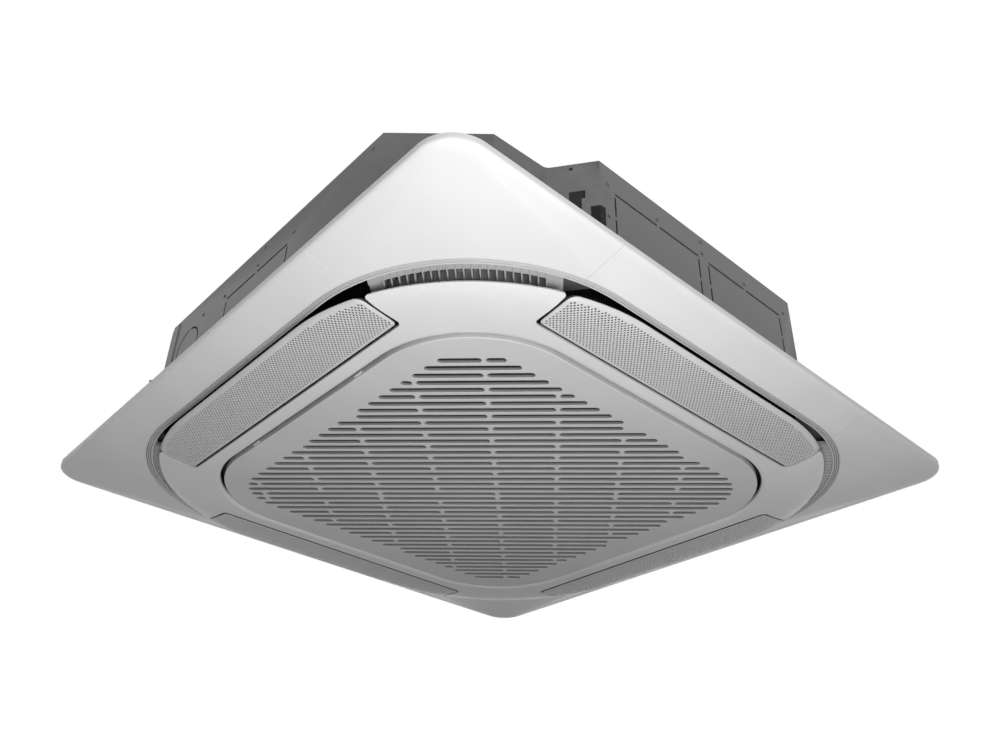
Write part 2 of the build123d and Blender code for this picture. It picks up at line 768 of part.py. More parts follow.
casing = solid(casing_outline - casing_inset(sheet), 0, casing_height)
casing += solid(casing_outline - casing_inset(casing_flange), 0, sheet)
strip_top = casing_height - 2
strip_right = front_wall_left + end_flange_width
strip = Polygon((front_wall_left, 0), (strip_right, 0), (strip_right, strip_top),
                (front_wall_left + 5, strip_top), (front_wall_left, strip_top - 7), align=None)
front_plane = Plane(origin=(0, -casing_half, 0), x_dir=(1, 0, 0), z_dir=(0, -1, 0))
casing += extrude(front_plane * strip, amount=sheet)
wall_cuts = duct_knockout(*front_knockout, duct_knockout_low, duct_knockout_high - 6)
wall_cuts += round_knockout(*round_knockout_place)
side_knockouts = (
    (90, right_wall_front + 26.0, right_knockout_gap[0]), (90, right_knockout_gap[1], right_wall_back - 30.0),
    (180, front_wall_left + 50.0, -40.0), (180, 40.0, -front_wall_left - 50.0),
    (270, 60.0 - left_wall_reach, -10.0), (270, 10.0, left_wall_reach - 60.0),
)
for turn, left, right in side_knockouts:
    wall_cuts += [Rot(0, 0, turn) * slit
                  for slit in duct_knockout(left, right, duct_knockout_low, duct_knockout_high)]
wall_cuts.append(step_cut(*step_window, *step_window_heights))
wall_cuts.append(step_cut(*step_window_arm, step_window_arm_low, step_window_heights[1]))
wall_cuts.append(block(casing_half - corner_notch, casing_half + 1, right_wall_front - corner_notch,
                       right_wall_front + corner_notch - 2, *corner_notch_heights))
pump_x, pump_y = pump_place


def pipe_bores(play):
    """Round bars through casing and foam where the two refrigerant pipes and the drain pipe pass."""
    x0, x1 = recess_corner[0] - 40, recess_inner[0] + 12
    return [rod_x(gas_radius + play, x0, x1, *gas_exit), rod_x(liquid_radius + play, x0, x1, *liquid_exit),
            rod_x(drain_pipe_radius + play, x0, x1, drain_exit_y, drain_height)]


pipe_holes = pipe_bores(pipe_play)
back_plane = Plane(origin=(0, casing_half, 0), x_dir=(-1, 0, 0), z_dir=(0, 1, 0))


def cable_rod(radius, start, stop):
    """A round bar through the back wall, between two distances out from it."""
    plane = back_plane.offset(start)
    return extrude(plane * (Pos(0, cable_entry_z) * Circle(radius)), amount=stop - start)


cable_hole = cable_rod(cable_hole_radius, -liner_thickness - 4, 2)
casing = casing.cut(*wall_cuts, *pipe_holes, cable_hole, *screw_holes)
step_hole = Plane(origin=(*on_step(step_hole_place), casing_height - 6), x_dir=(0, 0, 1),
                  z_dir=(-step_dir[1], step_dir[0], 0))
casing -= extrude(step_hole * Circle(step_hole_radius), amount=4, both=True)
panels = [casing & solid(wall_region(index, -2.0, casing_flange + 2.0), -1, casing_height + 1)
          for index in range(wall_count)]
save("casing_shell", group(panel for sheet_piece in panels for panel in sheet_piece.solids()))

rivets = []
rivet_rows = (
    (90, ((right_wall_front + 14, 148), (right_wall_front + 14, 98), (-103, 150), (-13.5, 168), (-13.5, 149),
          (78, 150), (right_wall_back - 17, 149))),
    (0, ((-148, 146), (-85, 144), (4, 146), (18, 168), (94, 146), (front_wall_right - 17, 165))),
    (180, ((front_wall_left + 45, 162), (0, 162), (-front_wall_left - 45, 162))),
    (270, ((25 - left_wall_reach, 162), (0, 162), (left_wall_reach - 25, 162))),
)
for turn, places in rivet_rows:
    for along, z in places:
        rivet = Rot(90, 0, 0) * Cylinder(rivet_radius, rivet_height)
        rivets.append(Rot(0, 0, turn) * Pos(along, -casing_half - rivet_height / 2, z) * rivet)
save("casing_rivets", group(rivets))

grommet = cable_rod(cable_hole_radius, -sheet, 0) + cable_rod(cable_hole_radius + 3, 0, 3)
grommet += cable_rod(cable_hole_radius + 2, -sheet - 2, -sheet)
grommet -= cable_rod(cable_bore, -sheet - 3, 4)
save("cable_grommet", grommet)

plate_top = casing_height + sheet
top_plate = solid(casing_outline, casing_height, plate_top)
for turn in (45, 135):
    for place in (-70, 70):
        strip = Pos(0, place) * SlotOverall(2 * casing_half - 180, 16)
        strip -= Circle(150)
        top_plate += solid((Rot(0, 0, turn) * strip) & casing_inset(25), plate_top, plate_top + top_bead)
top_plate += solid(Circle(140) - Circle(124), plate_top, plate_top + top_bead)
save("top_plate", top_plate)

# ---------------------------------------------------------------- foam liner and drain pan
grommet_room = cable_rod(cable_hole_radius + 2, -liner_thickness - 4, 0)
slabs = [solid(wall_region(index, sheet, sheet + liner_thickness), sheet, casing_height - top_foam)
         for index in range(wall_count)]
slabs = [slab.cut(*pipe_holes, grommet_room) for slab in slabs]
slabs.append(solid(casing_inset(sheet) - Circle(130), casing_height - top_foam, casing_height))
save("foam_liner", group(piece for slab in slabs for piece in slab.solids()))

pan = solid(rounded_square(pan_half, pan_corner_radius) - Circle(pan_bore_radius), 0, pan_height)
trough = rounded_square(pan_half - pan_wall, pan_corner_radius - pan_wall) - rounded_square(pan_dam_half, 70)
pan -= solid(trough, pan_floor, pan_height)
save("drain_pan", pan)

# ---------------------------------------------------------------- heat exchanger
coil_top = casing_height - top_foam
fins = square_ring(coil_half, coil_corner_radius, coil_depth, pan_floor, coil_top)
fins -= block(coil_end_front, coil_half + 1, -coil_half - 1, coil_end_right, 0, coil_top + 1)
save("coil_fins", fins)

leg_centre = coil_half - coil_depth / 2
columns = (leg_centre - tube_column_pitch / 2, leg_centre + tube_column_pitch / 2)
row_heights = [pan_floor + 20 + i * tube_pitch for i in range(tube_rows)]


def u_bend():
    """A return bend between the two tube columns, in the XY plane, ends on Y = 0, bulging to -Y."""
    half = tube_column_pitch / 2
    path = ThreePointArc((-half, 0), (0, -half), (half, 0))
    start = Plane(origin=(-half, 0, 0), x_dir=(1, 0, 0), z_dir=(0, -1, 0))
    return sweep(start * Circle(tube_radius), path=path)


bends = []
for index, z in enumerate(row_heights):
    if index % 2 == 0:
        bends.append(Pos(leg_centre, coil_end_right, z) * u_bend())
        bends.append(Pos(coil_end_front, -leg_centre, z) * Rot(0, 0, 90) * u_bend())
save("coil_u_bends", group(bends))


def header(place, radius, end_face, heights, along_x):
    """A vertical header with feeders that reach the coil's end face."""
    x, y = place
    part = rod_z(radius, x, y, pan_floor, heights[-1] + 12)
    for z in heights:
        if along_x:
            part += rod_x(tube_radius * 0.8, end_face, x, y, z)
        else:
            length = end_face - y
            part += Pos(x, (end_face + y) / 2, z) * Rot(90, 0, 0) * Cylinder(tube_radius * 0.8, length)
    return part


feeder_heights = row_heights[1::2]
gas_y, gas_z = gas_exit
gas = header(gas_header, gas_header_radius, coil_end_right, feeder_heights, False)
gas += tube([(*gas_header, gas_z), (pipe_turn_x, gas_header[1], gas_z), (pipe_turn_x, gas_y, gas_z),
             (pipe_reach, gas_y, gas_z)], 20, gas_radius)
save("gas_line", gas)

liquid_y, liquid_z = liquid_exit
liquid = header(liquid_header, liquid_header_radius, coil_end_front, feeder_heights, True)
liquid_front = pump_y - pump_radius - 22
liquid += tube([(*liquid_header, liquid_z), (liquid_header[0] + 45, liquid_front, liquid_z),
                (pump_x + 25, liquid_front, liquid_z), (pipe_turn_x + 5, liquid_y, liquid_z),
                (pipe_reach, liquid_y, liquid_z)], 18, liquid_radius)
save("liquid_line", liquid)

thread_radius = {"gas": 11.11, "liquid": 7.94}
unions = []
for name, pipe_radius, (y, z), hex_radius in (("gas", gas_radius, gas_exit, 15.0),
                                              ("liquid", liquid_radius, liquid_exit, 10.5)):
    nut_plane = Plane(origin=(pipe_reach, y, z), x_dir=(0, 1, 0), z_dir=(1, 0, 0))
    nut = extrude(nut_plane * RegularPolygon(hex_radius, 6), amount=union_nut_length)
    thread = rod_x(thread_radius[name], pipe_reach + union_nut_length, pipe_reach + union_length, y, z)
    seat = rod_x(pipe_radius * 0.75, pipe_reach - 1, pipe_reach + union_length + 1, y, z)
    unions.append(nut + thread - seat)
save("flare_unions", group(unions))

# ---------------------------------------------------------------- drain pump, pipe and float switch
chamber_radius = impeller_radius + 3
chamber_low = pan_floor + 5
chamber_high = chamber_low + 16
pump = rod_z(pump_radius, pump_x, pump_y, pan_floor + 2, pump_high)
pump += rod_z(pump_motor_radius, pump_x, pump_y, pump_high, pump_motor_high)
outlet_x = pump_x + pump_motor_radius + 10
pump += block(pump_x, outlet_x, drain_exit_y - 13, drain_exit_y + 13, pump_high, pump_motor_high - 1)
for angle in (0, 120, 240):
    foot_x = pump_x + (pump_radius - 5) * cos(radians(angle))
    foot_y = pump_y + (pump_radius - 5) * sin(radians(angle))
    pump += rod_z(4, foot_x, foot_y, pan_floor, pan_floor + 3)
pump -= rod_z(chamber_radius, pump_x, pump_y, chamber_low, chamber_high)
pump -= rod_z(9, pump_x, pump_y, pan_floor, chamber_low)
impeller_shaft = 2.0
pump -= rod_z(impeller_shaft + running_clearance, pump_x, pump_y, chamber_high, chamber_high + 20.5)
save("drain_pump", pump)

impeller = rod_z(5, pump_x, pump_y, chamber_low + 2, chamber_high - 1)
impeller += rod_z(impeller_radius, pump_x, pump_y, chamber_low + 2, chamber_low + 4)
impeller += rod_z(impeller_shaft, pump_x, pump_y, chamber_high - 1, chamber_high + 20)
vane = block(0, impeller_radius, -0.9, 0.9, chamber_low + 2, chamber_high - 1)
for angle in (0, 90, 180, 270):
    impeller += Pos(pump_x, pump_y, 0) * Rot(0, 0, angle) * vane
save("pump_impeller", impeller)

socket_start = drain_reach - drain_socket_length
drain = rod_x(drain_pipe_radius, outlet_x, socket_start + 1, drain_exit_y, drain_height)
drain += rod_x(drain_socket_radius, socket_start, drain_reach, drain_exit_y, drain_height)
drain -= rod_x(drain_pipe_bore, outlet_x - 1, drain_reach, drain_exit_y, drain_height)
drain -= rod_x(drain_socket_bore, socket_start + 3, drain_reach + 1, drain_exit_y, drain_height)
save("drain_pipe", drain)

float_x, float_y = float_place
stem = rod_z(float_stem_radius, float_x, float_y, float_low - 3, 100)
stem += rod_z(8, float_x, float_y, float_low - 3, float_low - running_clearance)
stop_z = float_high + float_travel + 0.3
stem += rod_z(8, float_x, float_y, stop_z, stop_z + 3)
arm_z = pump_high + 10
switch = stem + block(float_x - 8, pump_x, float_y - 5, float_y + 5, arm_z, arm_z + 5)
switch -= rod_z(pump_motor_radius, pump_x, pump_y, arm_z - 1, arm_z + 6)
save("float_switch", switch)
ring = rod_z(float_radius, float_x, float_y, float_low, float_high)
ring -= rod_z(float_stem_radius + running_clearance, float_x, float_y, float_low - 1, float_high + 1)
save("float_ring", ring)

# ---------------------------------------------------------------- bell mouth, fan and motor
bell_curve = ((51.0, 0.0), (26.0, 6.0), (8.0, 20.0), (0.0, 34.0))
inner_curve = ((-2.0, 33.5), (6.5, 18.8), (25.0, 4.2), (50.8, -bell_wall))
bell = turned([(bell_flange_radius, -bell_wall), (bell_flange_radius, 0)]
              + [(throat_radius + out, z) for out, z in bell_curve]
              + [(throat_radius, bell_height), (throat_radius - bell_wall, bell_height)]
              + [(throat_radius + out, z) for out, z in inner_curve])
collar_room = rod_z(bell_flange_radius + 1, 0, 0, bell_split, bell_height + 1)
save("bell_mouth", group([bell - collar_room, bell & collar_room]))


def fan_vane():
    """One backward-curved blade seen from above."""
    outer = fan_radius - 1.5

    def at(radius, angle, thick):
        turn = radians(angle) + thick / radius
        return radius * cos(turn), radius * sin(turn)

    mid = (fan_blade_inner + outer) / 2 + 2
    leading = [at(fan_blade_inner, 0, 0), at(mid, -13, 0), at(outer, -32, 0)]
    trailing = [at(fan_blade_inner, 0, fan_blade_wall), at(mid, -13, fan_blade_wall * 1.2),
                at(outer, -32, fan_blade_wall * 1.4)]
    edges = [ThreePointArc(*leading), Line(leading[2], trailing[2]),
             ThreePointArc(trailing[2], trailing[1], trailing[0]), Line(trailing[0], leading[0])]
    return make_face(edges)


fan = turned([
    (shaft_radius, hub_low), (hub_radius, hub_low), (hub_radius, dish_low), (dish_floor_radius, dish_low),
    (dish_top_radius, fan_back_z), (fan_radius, fan_back_z), (fan_radius, fan_back_z + fan_plate),
    (dish_top_radius - 2, fan_back_z + fan_plate), (dish_floor_radius - 2, dish_low + fan_plate),
    (hub_radius, dish_low + fan_plate), (hub_radius, hub_high), (shaft_radius, hub_high)])
fan_ring = turned([(fan_inlet_radius, fan_low), (fan_inlet_radius + 3, fan_low),
                   (fan_inlet_radius + 5, fan_low + 7), (fan_radius + 1, fan_low + 17),
                   (fan_radius + 1, fan_low + 20), (fan_inlet_radius + 3, fan_low + 10),
                   (fan_inlet_radius, fan_low + 4)])
below_ring = turned([(fan_inlet_radius + 3, fan_low), (fan_radius + 1, fan_low), (fan_radius + 1, fan_low + 20),
                     (fan_inlet_radius + 3, fan_low + 10)])
vane = solid(fan_vane(), fan_low + 10, fan_back_z + 0.5) - below_ring
for index in range(fan_blades):
    fan += Rot(0, 0, index * 360 / fan_blades) * vane
save("turbo_fan", group([fan, fan_ring]))
save("motor_shaft", rod_z(shaft_radius, 0, 0, shaft_low, shaft_high))
nut = solid(RegularPolygon(11, 6) - Circle(shaft_radius), hub_low - 10, hub_low)
save("fan_nut", nut)

motor = rod_z(motor_radius, 0, 0, motor_low, motor_high)
motor = fillet(motor.edges().filter_by(GeomType.CIRCLE), 8)
motor += rod_z(motor_radius + 5, 0, 0, motor_low + 22, motor_low + 26)
motor -= rod_z(shaft_radius + running_clearance, 0, 0, motor_low - 1, shaft_high + 1)
save("fan_motor", motor)

bracket_low = motor_high
bracket_high = bracket_low + bracket_plate
bracket = Circle(mount_circle - 30)
mounts = [(mount_circle * cos(radians(a)), mount_circle * sin(radians(a))) for a in (90, 210, 330)]
for angle in (90, 210, 330):
    arm_length = mount_circle + 18
    bracket += Rot(0, 0, angle) * (Pos(arm_length / 2, 0) * SlotOverall(arm_length, bracket_arm))
for x, y in mounts:
    bracket -= Pos(x, y) * Circle(mount_bolt_radius)
save("motor_bracket", solid(bracket, bracket_low, bracket_high))
bushes = []
bolts = []
for x, y in mounts:
    bush = rod_z(bush_radius, x, y, bracket_high, casing_height)
    bush -= rod_z(mount_bolt_radius, x, y, bracket_low, casing_height + 1)
    bushes.append(bush)
    bolt = rod_z(mount_bolt_radius, x, y, bracket_low - 4, casing_height)
    bolt += Pos(x, y) * solid(RegularPolygon(6.5, 6), bracket_low - 4, bracket_low)
    bolts.append(bolt)
save("motor_bushes", group(bushes))
save("motor_bolts", group(bolts))

# ---------------------------------------------------------------- control box
box_high = -bell_wall
box_low = box_high - box_depth
half = box_length / 2
box = block(-half, half, box_near, box_far, box_low, box_high)
box -= block(-half + sheet, half - sheet, box_near + sheet, box_far - sheet, box_low - 1, box_high - sheet)
save("control_box", box)
save("control_cover", block(-half - 1, half + 1, box_near - 1, box_far + 1, box_low - sheet, box_low))
board_high = box_high - sheet
board_low = board_high - board_lift
board = block(-half + 12, half - 90, box_near + 8, box_far - 8, board_low, board_low + board_thickness)
for x in (-half + 20, half - 98):
    for y in (box_near + 14, box_far - 14):
        board += rod_z(3, x, y, board_low + 1, board_high)
board_parts = ((-110, 24, 30, 22, 10), (-60, 46, 24, 16, 8), (-20, 22, 20, 20, 9), (20, 50, 26, 14, 7))
for x, y_in, width, depth, height in board_parts:
    y = box_near + y_in
    board += block(x - width / 2, x + width / 2, y - depth / 2, y + depth / 2,
                   board_low - height, board_low + 1)
save("control_board", board)
terminal = block(half - 74, half - 12, box_near + 22, box_near + 44, board_high - 14, board_high)
for index in range(5):
    x = half - 66 + index * 11.5
    terminal -= rod_z(3, x, box_near + 33, board_high - 15, board_high - 8)
save("terminal_block", terminal)


# ---------------------------------------------------------------- hanger brackets
def hanger(wall_start, wall_end, slot_x, slot_y, lead):
    """A bracket along one slanted corner wall, with a tab that carries the suspension bolt's slot."""
    start, end = Vector(*wall_start), Vector(*wall_end)
    along = (end - start).normalized()
    out = Vector(along.Y, -along.X)
    if out.X * slot_x < 0:
        out = out * -1
    last = (end - start).length - 2
    foot = min((Vector(slot_x, slot_y) - start).dot(along), last)
    stop = min(foot + hanger_foot, last)

    def place(distance, outward):
        point = start + along * distance + out * outward
        return point.X, point.Y

    strip = Polygon(place(lead, 0), place(stop, 0), place(stop, hanger_strip), place(lead, hanger_strip),
                    align=None)
    tab_x = hanger_slot_length / 2 + hanger_slot_edge
    tab_y = hanger_slot_width / 2 + hanger_slot_edge
    tab = [(slot_x - tab_x, slot_y - tab_y), (slot_x + tab_x, slot_y - tab_y),
           (slot_x + tab_x, slot_y + tab_y), (slot_x - tab_x, slot_y + tab_y)]
    root = [place(stop, hanger_plate), place(foot - hanger_foot, hanger_plate)]
    flange = strip + make_hull(Polyline(tab + root, close=True).edges())
    flange -= casing_outline
    flange -= Pos(slot_x, slot_y) * SlotOverall(hanger_slot_length, hanger_slot_width)
    leg = Polygon(place(lead, 0), place(stop, 0), place(stop, hanger_plate), place(lead, hanger_plate),
                  align=None)
    leg -= casing_outline
    return solid(flange, hanger_z, hanger_z + hanger_plate) + solid(leg, hanger_z - hanger_leg, hanger_z + 1)


hangers = (
    ("front_right", casing_points[0], casing_points[1], hanger_x, -hanger_y, 15.0),
    ("back_right", casing_points[5], casing_points[4], hanger_x, hanger_y, 15.0),
    ("back_left", casing_points[6], casing_points[7], -hanger_x, hanger_y, 0.0),
    ("front_left", casing_points[9], casing_points[8], -hanger_x, -hanger_y, 0.0),
)
for corner, wall_start, wall_end, slot_x, slot_y, lead in hangers:
    save("hanger_bracket_" + corner, hanger(wall_start, wall_end, slot_x, slot_y, lead))
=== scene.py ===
# %% [markdown]
# # A ceiling cassette air conditioner, dressed piece by piece
#
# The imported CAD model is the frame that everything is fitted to. The pieces a person looks at from below
# (panel, corner covers, surround, air blades, grille) are drawn again here with finer edges, and the
# others keep their CAD solids with softened edges and procedural materials.

# %% Load the frame
import math
import bmesh
import bpy
from mathutils import Matrix, Vector


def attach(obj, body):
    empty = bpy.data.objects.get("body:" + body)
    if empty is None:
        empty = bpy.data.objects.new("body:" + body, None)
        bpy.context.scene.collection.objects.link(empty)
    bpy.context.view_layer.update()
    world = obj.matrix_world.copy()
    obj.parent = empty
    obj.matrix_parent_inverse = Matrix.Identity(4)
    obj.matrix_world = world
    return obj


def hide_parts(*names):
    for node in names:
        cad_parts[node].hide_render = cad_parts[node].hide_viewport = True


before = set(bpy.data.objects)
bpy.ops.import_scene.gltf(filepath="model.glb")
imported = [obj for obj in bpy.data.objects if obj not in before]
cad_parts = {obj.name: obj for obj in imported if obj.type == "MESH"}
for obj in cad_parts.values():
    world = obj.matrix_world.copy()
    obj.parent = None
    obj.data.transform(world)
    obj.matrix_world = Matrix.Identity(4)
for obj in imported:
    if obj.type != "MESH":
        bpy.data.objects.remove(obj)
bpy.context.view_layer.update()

scene = bpy.context.scene
scene.view_settings.view_transform = "Standard"
print("CAD nodes:", len(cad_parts))

# %% [markdown]
# ## Camera
#
# The photograph looks up at the near corner of the panel. Its direction was solved from the panel's edges
# and the slot rows: a heading, an upward tilt and a slight roll. A look-at constraint would do for the
# heading, but not for the roll, so the three axes of the camera are written from the angles.

# %% Camera
heading = math.pi / 4 + 0.0724
tilt = 0.5426
roll = 0.0334
level = Vector((-math.sin(heading), math.cos(heading), 0.0))
forward = level * math.cos(tilt) + Vector((0, 0, 1)) * math.sin(tilt)
side = forward.cross(Vector((0, 0, 1))).normalized()
upward = side.cross(forward)
right = side * math.cos(roll) + upward * math.sin(roll)
top = upward * math.cos(roll) - side * math.sin(roll)

camera = bpy.data.objects.new("camera", bpy.data.cameras.new("camera"))
scene.collection.objects.link(camera)
stand = Matrix.Translation((0.94506, -0.82754, -0.65901))
aim = Matrix((right, top, -forward)).transposed().to_4x4()
camera.matrix_world = stand @ aim
camera.data.sensor_width = 36.0
camera.data.lens = 34.053
camera.data.shift_x = 0.0153
camera.data.shift_y = 0.0364
scene.camera = camera
print("camera looks along", [round(v, 3) for v in forward])

# %% [markdown]
# ## Small helpers for meshes and node trees
#
# Nearly every material here needs the same few nodes: object coordinates, one step of arithmetic, a blend
# of two colours. Short helpers for them keep each material down to what makes it different.

# %% Node helpers
def add(tree, kind, links=(), **settings):
    """Add a node, set its fields, and set or link its inputs."""
    made = tree.nodes.new(kind)
    for field, value in settings.items():
        setattr(made, field, value)
    for socket, value in dict(links).items():
        if isinstance(value, bpy.types.NodeSocket):
            tree.links.new(value, made.inputs[socket])
        else:
            made.inputs[socket].default_value = value
    return made


def object_place(tree):
    """Object coordinates, which stay with a piece when it moves."""
    return add(tree, "ShaderNodeTexCoord").outputs["Object"]


def calc(tree, operation, first, second=1.0):
    """One step of arithmetic on sockets or numbers."""
    return add(tree, "ShaderNodeMath", {0: first, 1: second}, operation=operation).outputs["Value"]


def blend(tree, share, first, second):
    """Mix two colours, each a socket or red, green and blue."""
    ends = [end if isinstance(end, bpy.types.NodeSocket) else (*end, 1.0) for end in (first, second)]
    mix = add(tree, "ShaderNodeMix", {"Factor": share, 6: ends[0], 7: ends[1]}, data_type="RGBA")
    return mix.outputs[2]


def new_material(name):
    look = bpy.data.materials.new(name)
    look.use_nodes = True
    return look, look.node_tree, look.node_tree.nodes["Principled BSDF"]


print("node helpers:", [step.__name__ for step in (add, object_place, calc, blend, new_material)])

# %% [markdown]
# ## From a mesh to a piece
#
# Lengths below are millimetres, as on a drawing, and `publish` scales a finished mesh to metres. It also
# hangs the piece on the body it rides on, gives it its materials and hides the CAD node it stands for.
# Moulded edges are never sharp, so `soften` rounds them with a Bevel modifier instead of modelling each
# round.

# %% Pieces and their edges
def publish(name, bm, looks, node=None, body="unit", wall=0.0, soft=0.0, steps=2, sharp=40.0,
            even=True, flat=False):
    """Turn a mesh in millimetres into a piece that rides on a body."""
    bmesh.ops.scale(bm, vec=(0.001, 0.001, 0.001), verts=bm.verts)
    mesh = bpy.data.meshes.new(name)
    bm.to_mesh(mesh)
    bm.free()
    for look in looks:
        mesh.materials.append(look)
    mesh.shade_smooth()
    mesh.set_sharp_from_angle(angle=math.radians(sharp))
    piece = bpy.data.objects.new(name, mesh)
    scene.collection.objects.link(piece)
    if wall:
        thick = piece.modifiers.new("wall", "SOLIDIFY")
        thick.thickness = wall / 1000
        thick.offset = -1.0
        thick.use_even_offset = even
    if soft:
        soften(piece, soft, steps)
    if flat:
        keep_flat(piece)
    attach(piece, body)
    if node:
        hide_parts(node)
    print(name, len(mesh.polygons), "faces before modifiers")
    return piece


def soften(piece, width, steps=2, angle=40.0):
    """Round the sharp edges of a piece, so that they catch the light."""
    edge = piece.modifiers.new("edges", "BEVEL")
    edge.width = width / 1000
    edge.segments = steps
    edge.limit_method = "ANGLE"
    edge.angle_limit = math.radians(angle)
    edge.harden_normals = True
    edge.use_clamp_overlap = True


def keep_flat(piece):
    """Let large faces set the shading, so that flat walls look flat."""
    level_out = piece.modifiers.new("flat faces", "WEIGHTED_NORMAL")
    level_out.keep_sharp = True


# %% [markdown]
# ## Shapes that come back
#
# Panel, surround and door are all rounded squares that change size from one height to the next. One
# helper draws such an outline, one bridges a stack of them into a skin, and one cuts with a plane.

# %% Rounded squares, skins and cuts
def everything(bm):
    return bm.verts[:] + bm.edges[:] + bm.faces[:]


def about_z(degrees):
    return Matrix.Rotation(math.radians(degrees), 3, "Z")


def merge_into(bm, other):
    """Move all of one mesh into another."""
    spare = bpy.data.meshes.new("spare")
    other.to_mesh(spare)
    other.free()
    bm.from_mesh(spare)
    bpy.data.meshes.remove(spare)


def rounded(bm, half, radius, z, segments=28, half_y=None, keep_face=False):
    """Draw a rounded square or oblong at height z. Returns its edges, or its face."""
    old_edges, old_faces = set(bm.edges), set(bm.faces)
    shape = Matrix.Translation((0, 0, z)) @ Matrix.Diagonal((1.0, (half_y or half) / half, 1.0, 1.0))
    corners = bmesh.ops.create_grid(bm, x_segments=1, y_segments=1, size=half, matrix=shape)["verts"]
    bmesh.ops.bevel(bm, geom=corners, offset=radius, offset_type="OFFSET", segments=segments, profile=0.5,
                    affect="VERTICES", material=-1)
    faces = [face for face in bm.faces if face not in old_faces]
    if keep_face:
        return faces[0]
    bmesh.ops.delete(bm, geom=faces, context="FACES_ONLY")
    return [edge for edge in bm.edges if edge not in old_edges]


def stack(bm, sections, segments=28):
    """Join rounded squares (half, radius, height), one after another, into a skin."""
    loops = [rounded(bm, half, radius, z, segments) for half, radius, z in sections]
    for lower, upper in zip(loops, loops[1:]):
        bmesh.ops.bridge_loops(bm, edges=lower + upper)
    return loops


def cut(bm, point, normal, clear=False):
    """Cut the mesh with a plane, and drop what lies beyond it if asked."""
    bmesh.ops.bisect_plane(bm, geom=everything(bm), dist=1e-4, plane_co=point, plane_no=normal,
                           clear_outer=clear)


def face_down(bm):
    """Make an open skin face outwards, which here is downwards."""
    bmesh.ops.recalc_face_normals(bm, faces=bm.faces)
    if sum(face.normal.z * face.calc_area() for face in bm.faces) > 0:
        bmesh.ops.reverse_faces(bm, faces=bm.faces)


print("rotation by a quarter turn:", [[round(v) for v in row] for row in about_z(90)])

# %% [markdown]
# ## Shared surface effects
#
# Moulded plastic has a fine spark-eroded grain and a faint unevenness of tone. Both come from one group,
# so that each plastic differs only in scale and depth. The group puts out a normal and a tone from 0 to
# 1.

# %% Node groups
def effect_group(name, inputs, outputs):
    group = bpy.data.node_groups.new(name, "ShaderNodeTree")
    for label, value in inputs.items():
        socket = group.interface.new_socket(label, in_out="INPUT", socket_type="NodeSocketFloat")
        socket.default_value = value
    for label, kind in outputs.items():
        group.interface.new_socket(label, in_out="OUTPUT", socket_type=kind)
    return group, group.nodes.new("NodeGroupInput").outputs, group.nodes.new("NodeGroupOutput")


grain, given, result = effect_group("grain", {"Scale": 900.0, "Depth": 0.00003, "Patches": 9.0},
                                    {"Normal": "NodeSocketVector", "Tone": "NodeSocketFloat"})
place = object_place(grain)
fine = add(grain, "ShaderNodeTexNoise", {"Vector": place, "Scale": given["Scale"], "Detail": 3.0,
                                         "Roughness": 0.55})
broad = add(grain, "ShaderNodeTexNoise", {"Vector": place, "Scale": given["Patches"], "Detail": 4.0})
bump = add(grain, "ShaderNodeBump", {"Height": fine.outputs["Fac"], "Distance": given["Depth"]})
spread = add(grain, "ShaderNodeMapRange", {"Value": broad.outputs["Fac"], "From Min": 0.3, "From Max": 0.7})
grain.links.new(bump.outputs["Normal"], result.inputs["Normal"])
grain.links.new(spread.outputs["Result"], result.inputs["Tone"])
print("grain takes", [socket.name for socket in given if socket.name])

# %% [markdown]
# Galvanised sheet shows flat zinc crystals. Voronoi cells give each crystal its own tone, and a slow
# noise streaks them. The group has the outputs of the first one, so any finish can use either.

# %% Zinc crystals
spangle, given, result = effect_group("spangle", {"Scale": 90.0, "Depth": 0.00002},
                                      {"Normal": "NodeSocketVector", "Tone": "NodeSocketFloat"})
place = object_place(spangle)
cells = add(spangle, "ShaderNodeTexVoronoi", {"Vector": place, "Scale": given["Scale"], "Randomness": 1.0})
single = add(spangle, "ShaderNodeSeparateColor", {"Color": cells.outputs["Color"]})
streak = add(spangle, "ShaderNodeTexNoise", {"Vector": place, "Scale": 24.0, "Detail": 6.0,
                                             "Roughness": 0.6})
bump = add(spangle, "ShaderNodeBump", {"Height": streak.outputs["Fac"], "Distance": given["Depth"]})
spangle.links.new(bump.outputs["Normal"], result.inputs["Normal"])
mottle = calc(spangle, "MULTIPLY", single.outputs["Red"], streak.outputs["Fac"])
spangle.links.new(mottle, result.inputs["Tone"])
print("groups:", [group.name for group in bpy.data.node_groups])

# %% [markdown]
# ## Materials
#
# `finish_of` makes one material: a colour that drifts between two close tones, a roughness that drifts
# with it, and the normal of the chosen effect.

# %% Materials
def finish_of(name, dark, light, rough, group=grain, metallic=0.0, spread_of_rough=0.05, **effect):
    look, tree, shader = new_material(name)
    source = add(tree, "ShaderNodeGroup", node_tree=group)
    for label, value in effect.items():
        source.inputs[label].default_value = value
    tone = source.outputs["Tone"]
    tree.links.new(blend(tree, tone, dark, light), shader.inputs["Base Color"])
    gloss = add(tree, "ShaderNodeMapRange", {"Value": tone, "To Min": rough - spread_of_rough,
                                             "To Max": rough + spread_of_rough})
    tree.links.new(gloss.outputs["Result"], shader.inputs["Roughness"])
    tree.links.new(source.outputs["Normal"], shader.inputs["Normal"])
    shader.inputs["Metallic"].default_value = metallic
    return look


def grey(value, warm=0.0):
    return (value * (1 + warm), value, value * (1 - warm))


print("groups to choose from:", [group.name for group in bpy.data.node_groups])
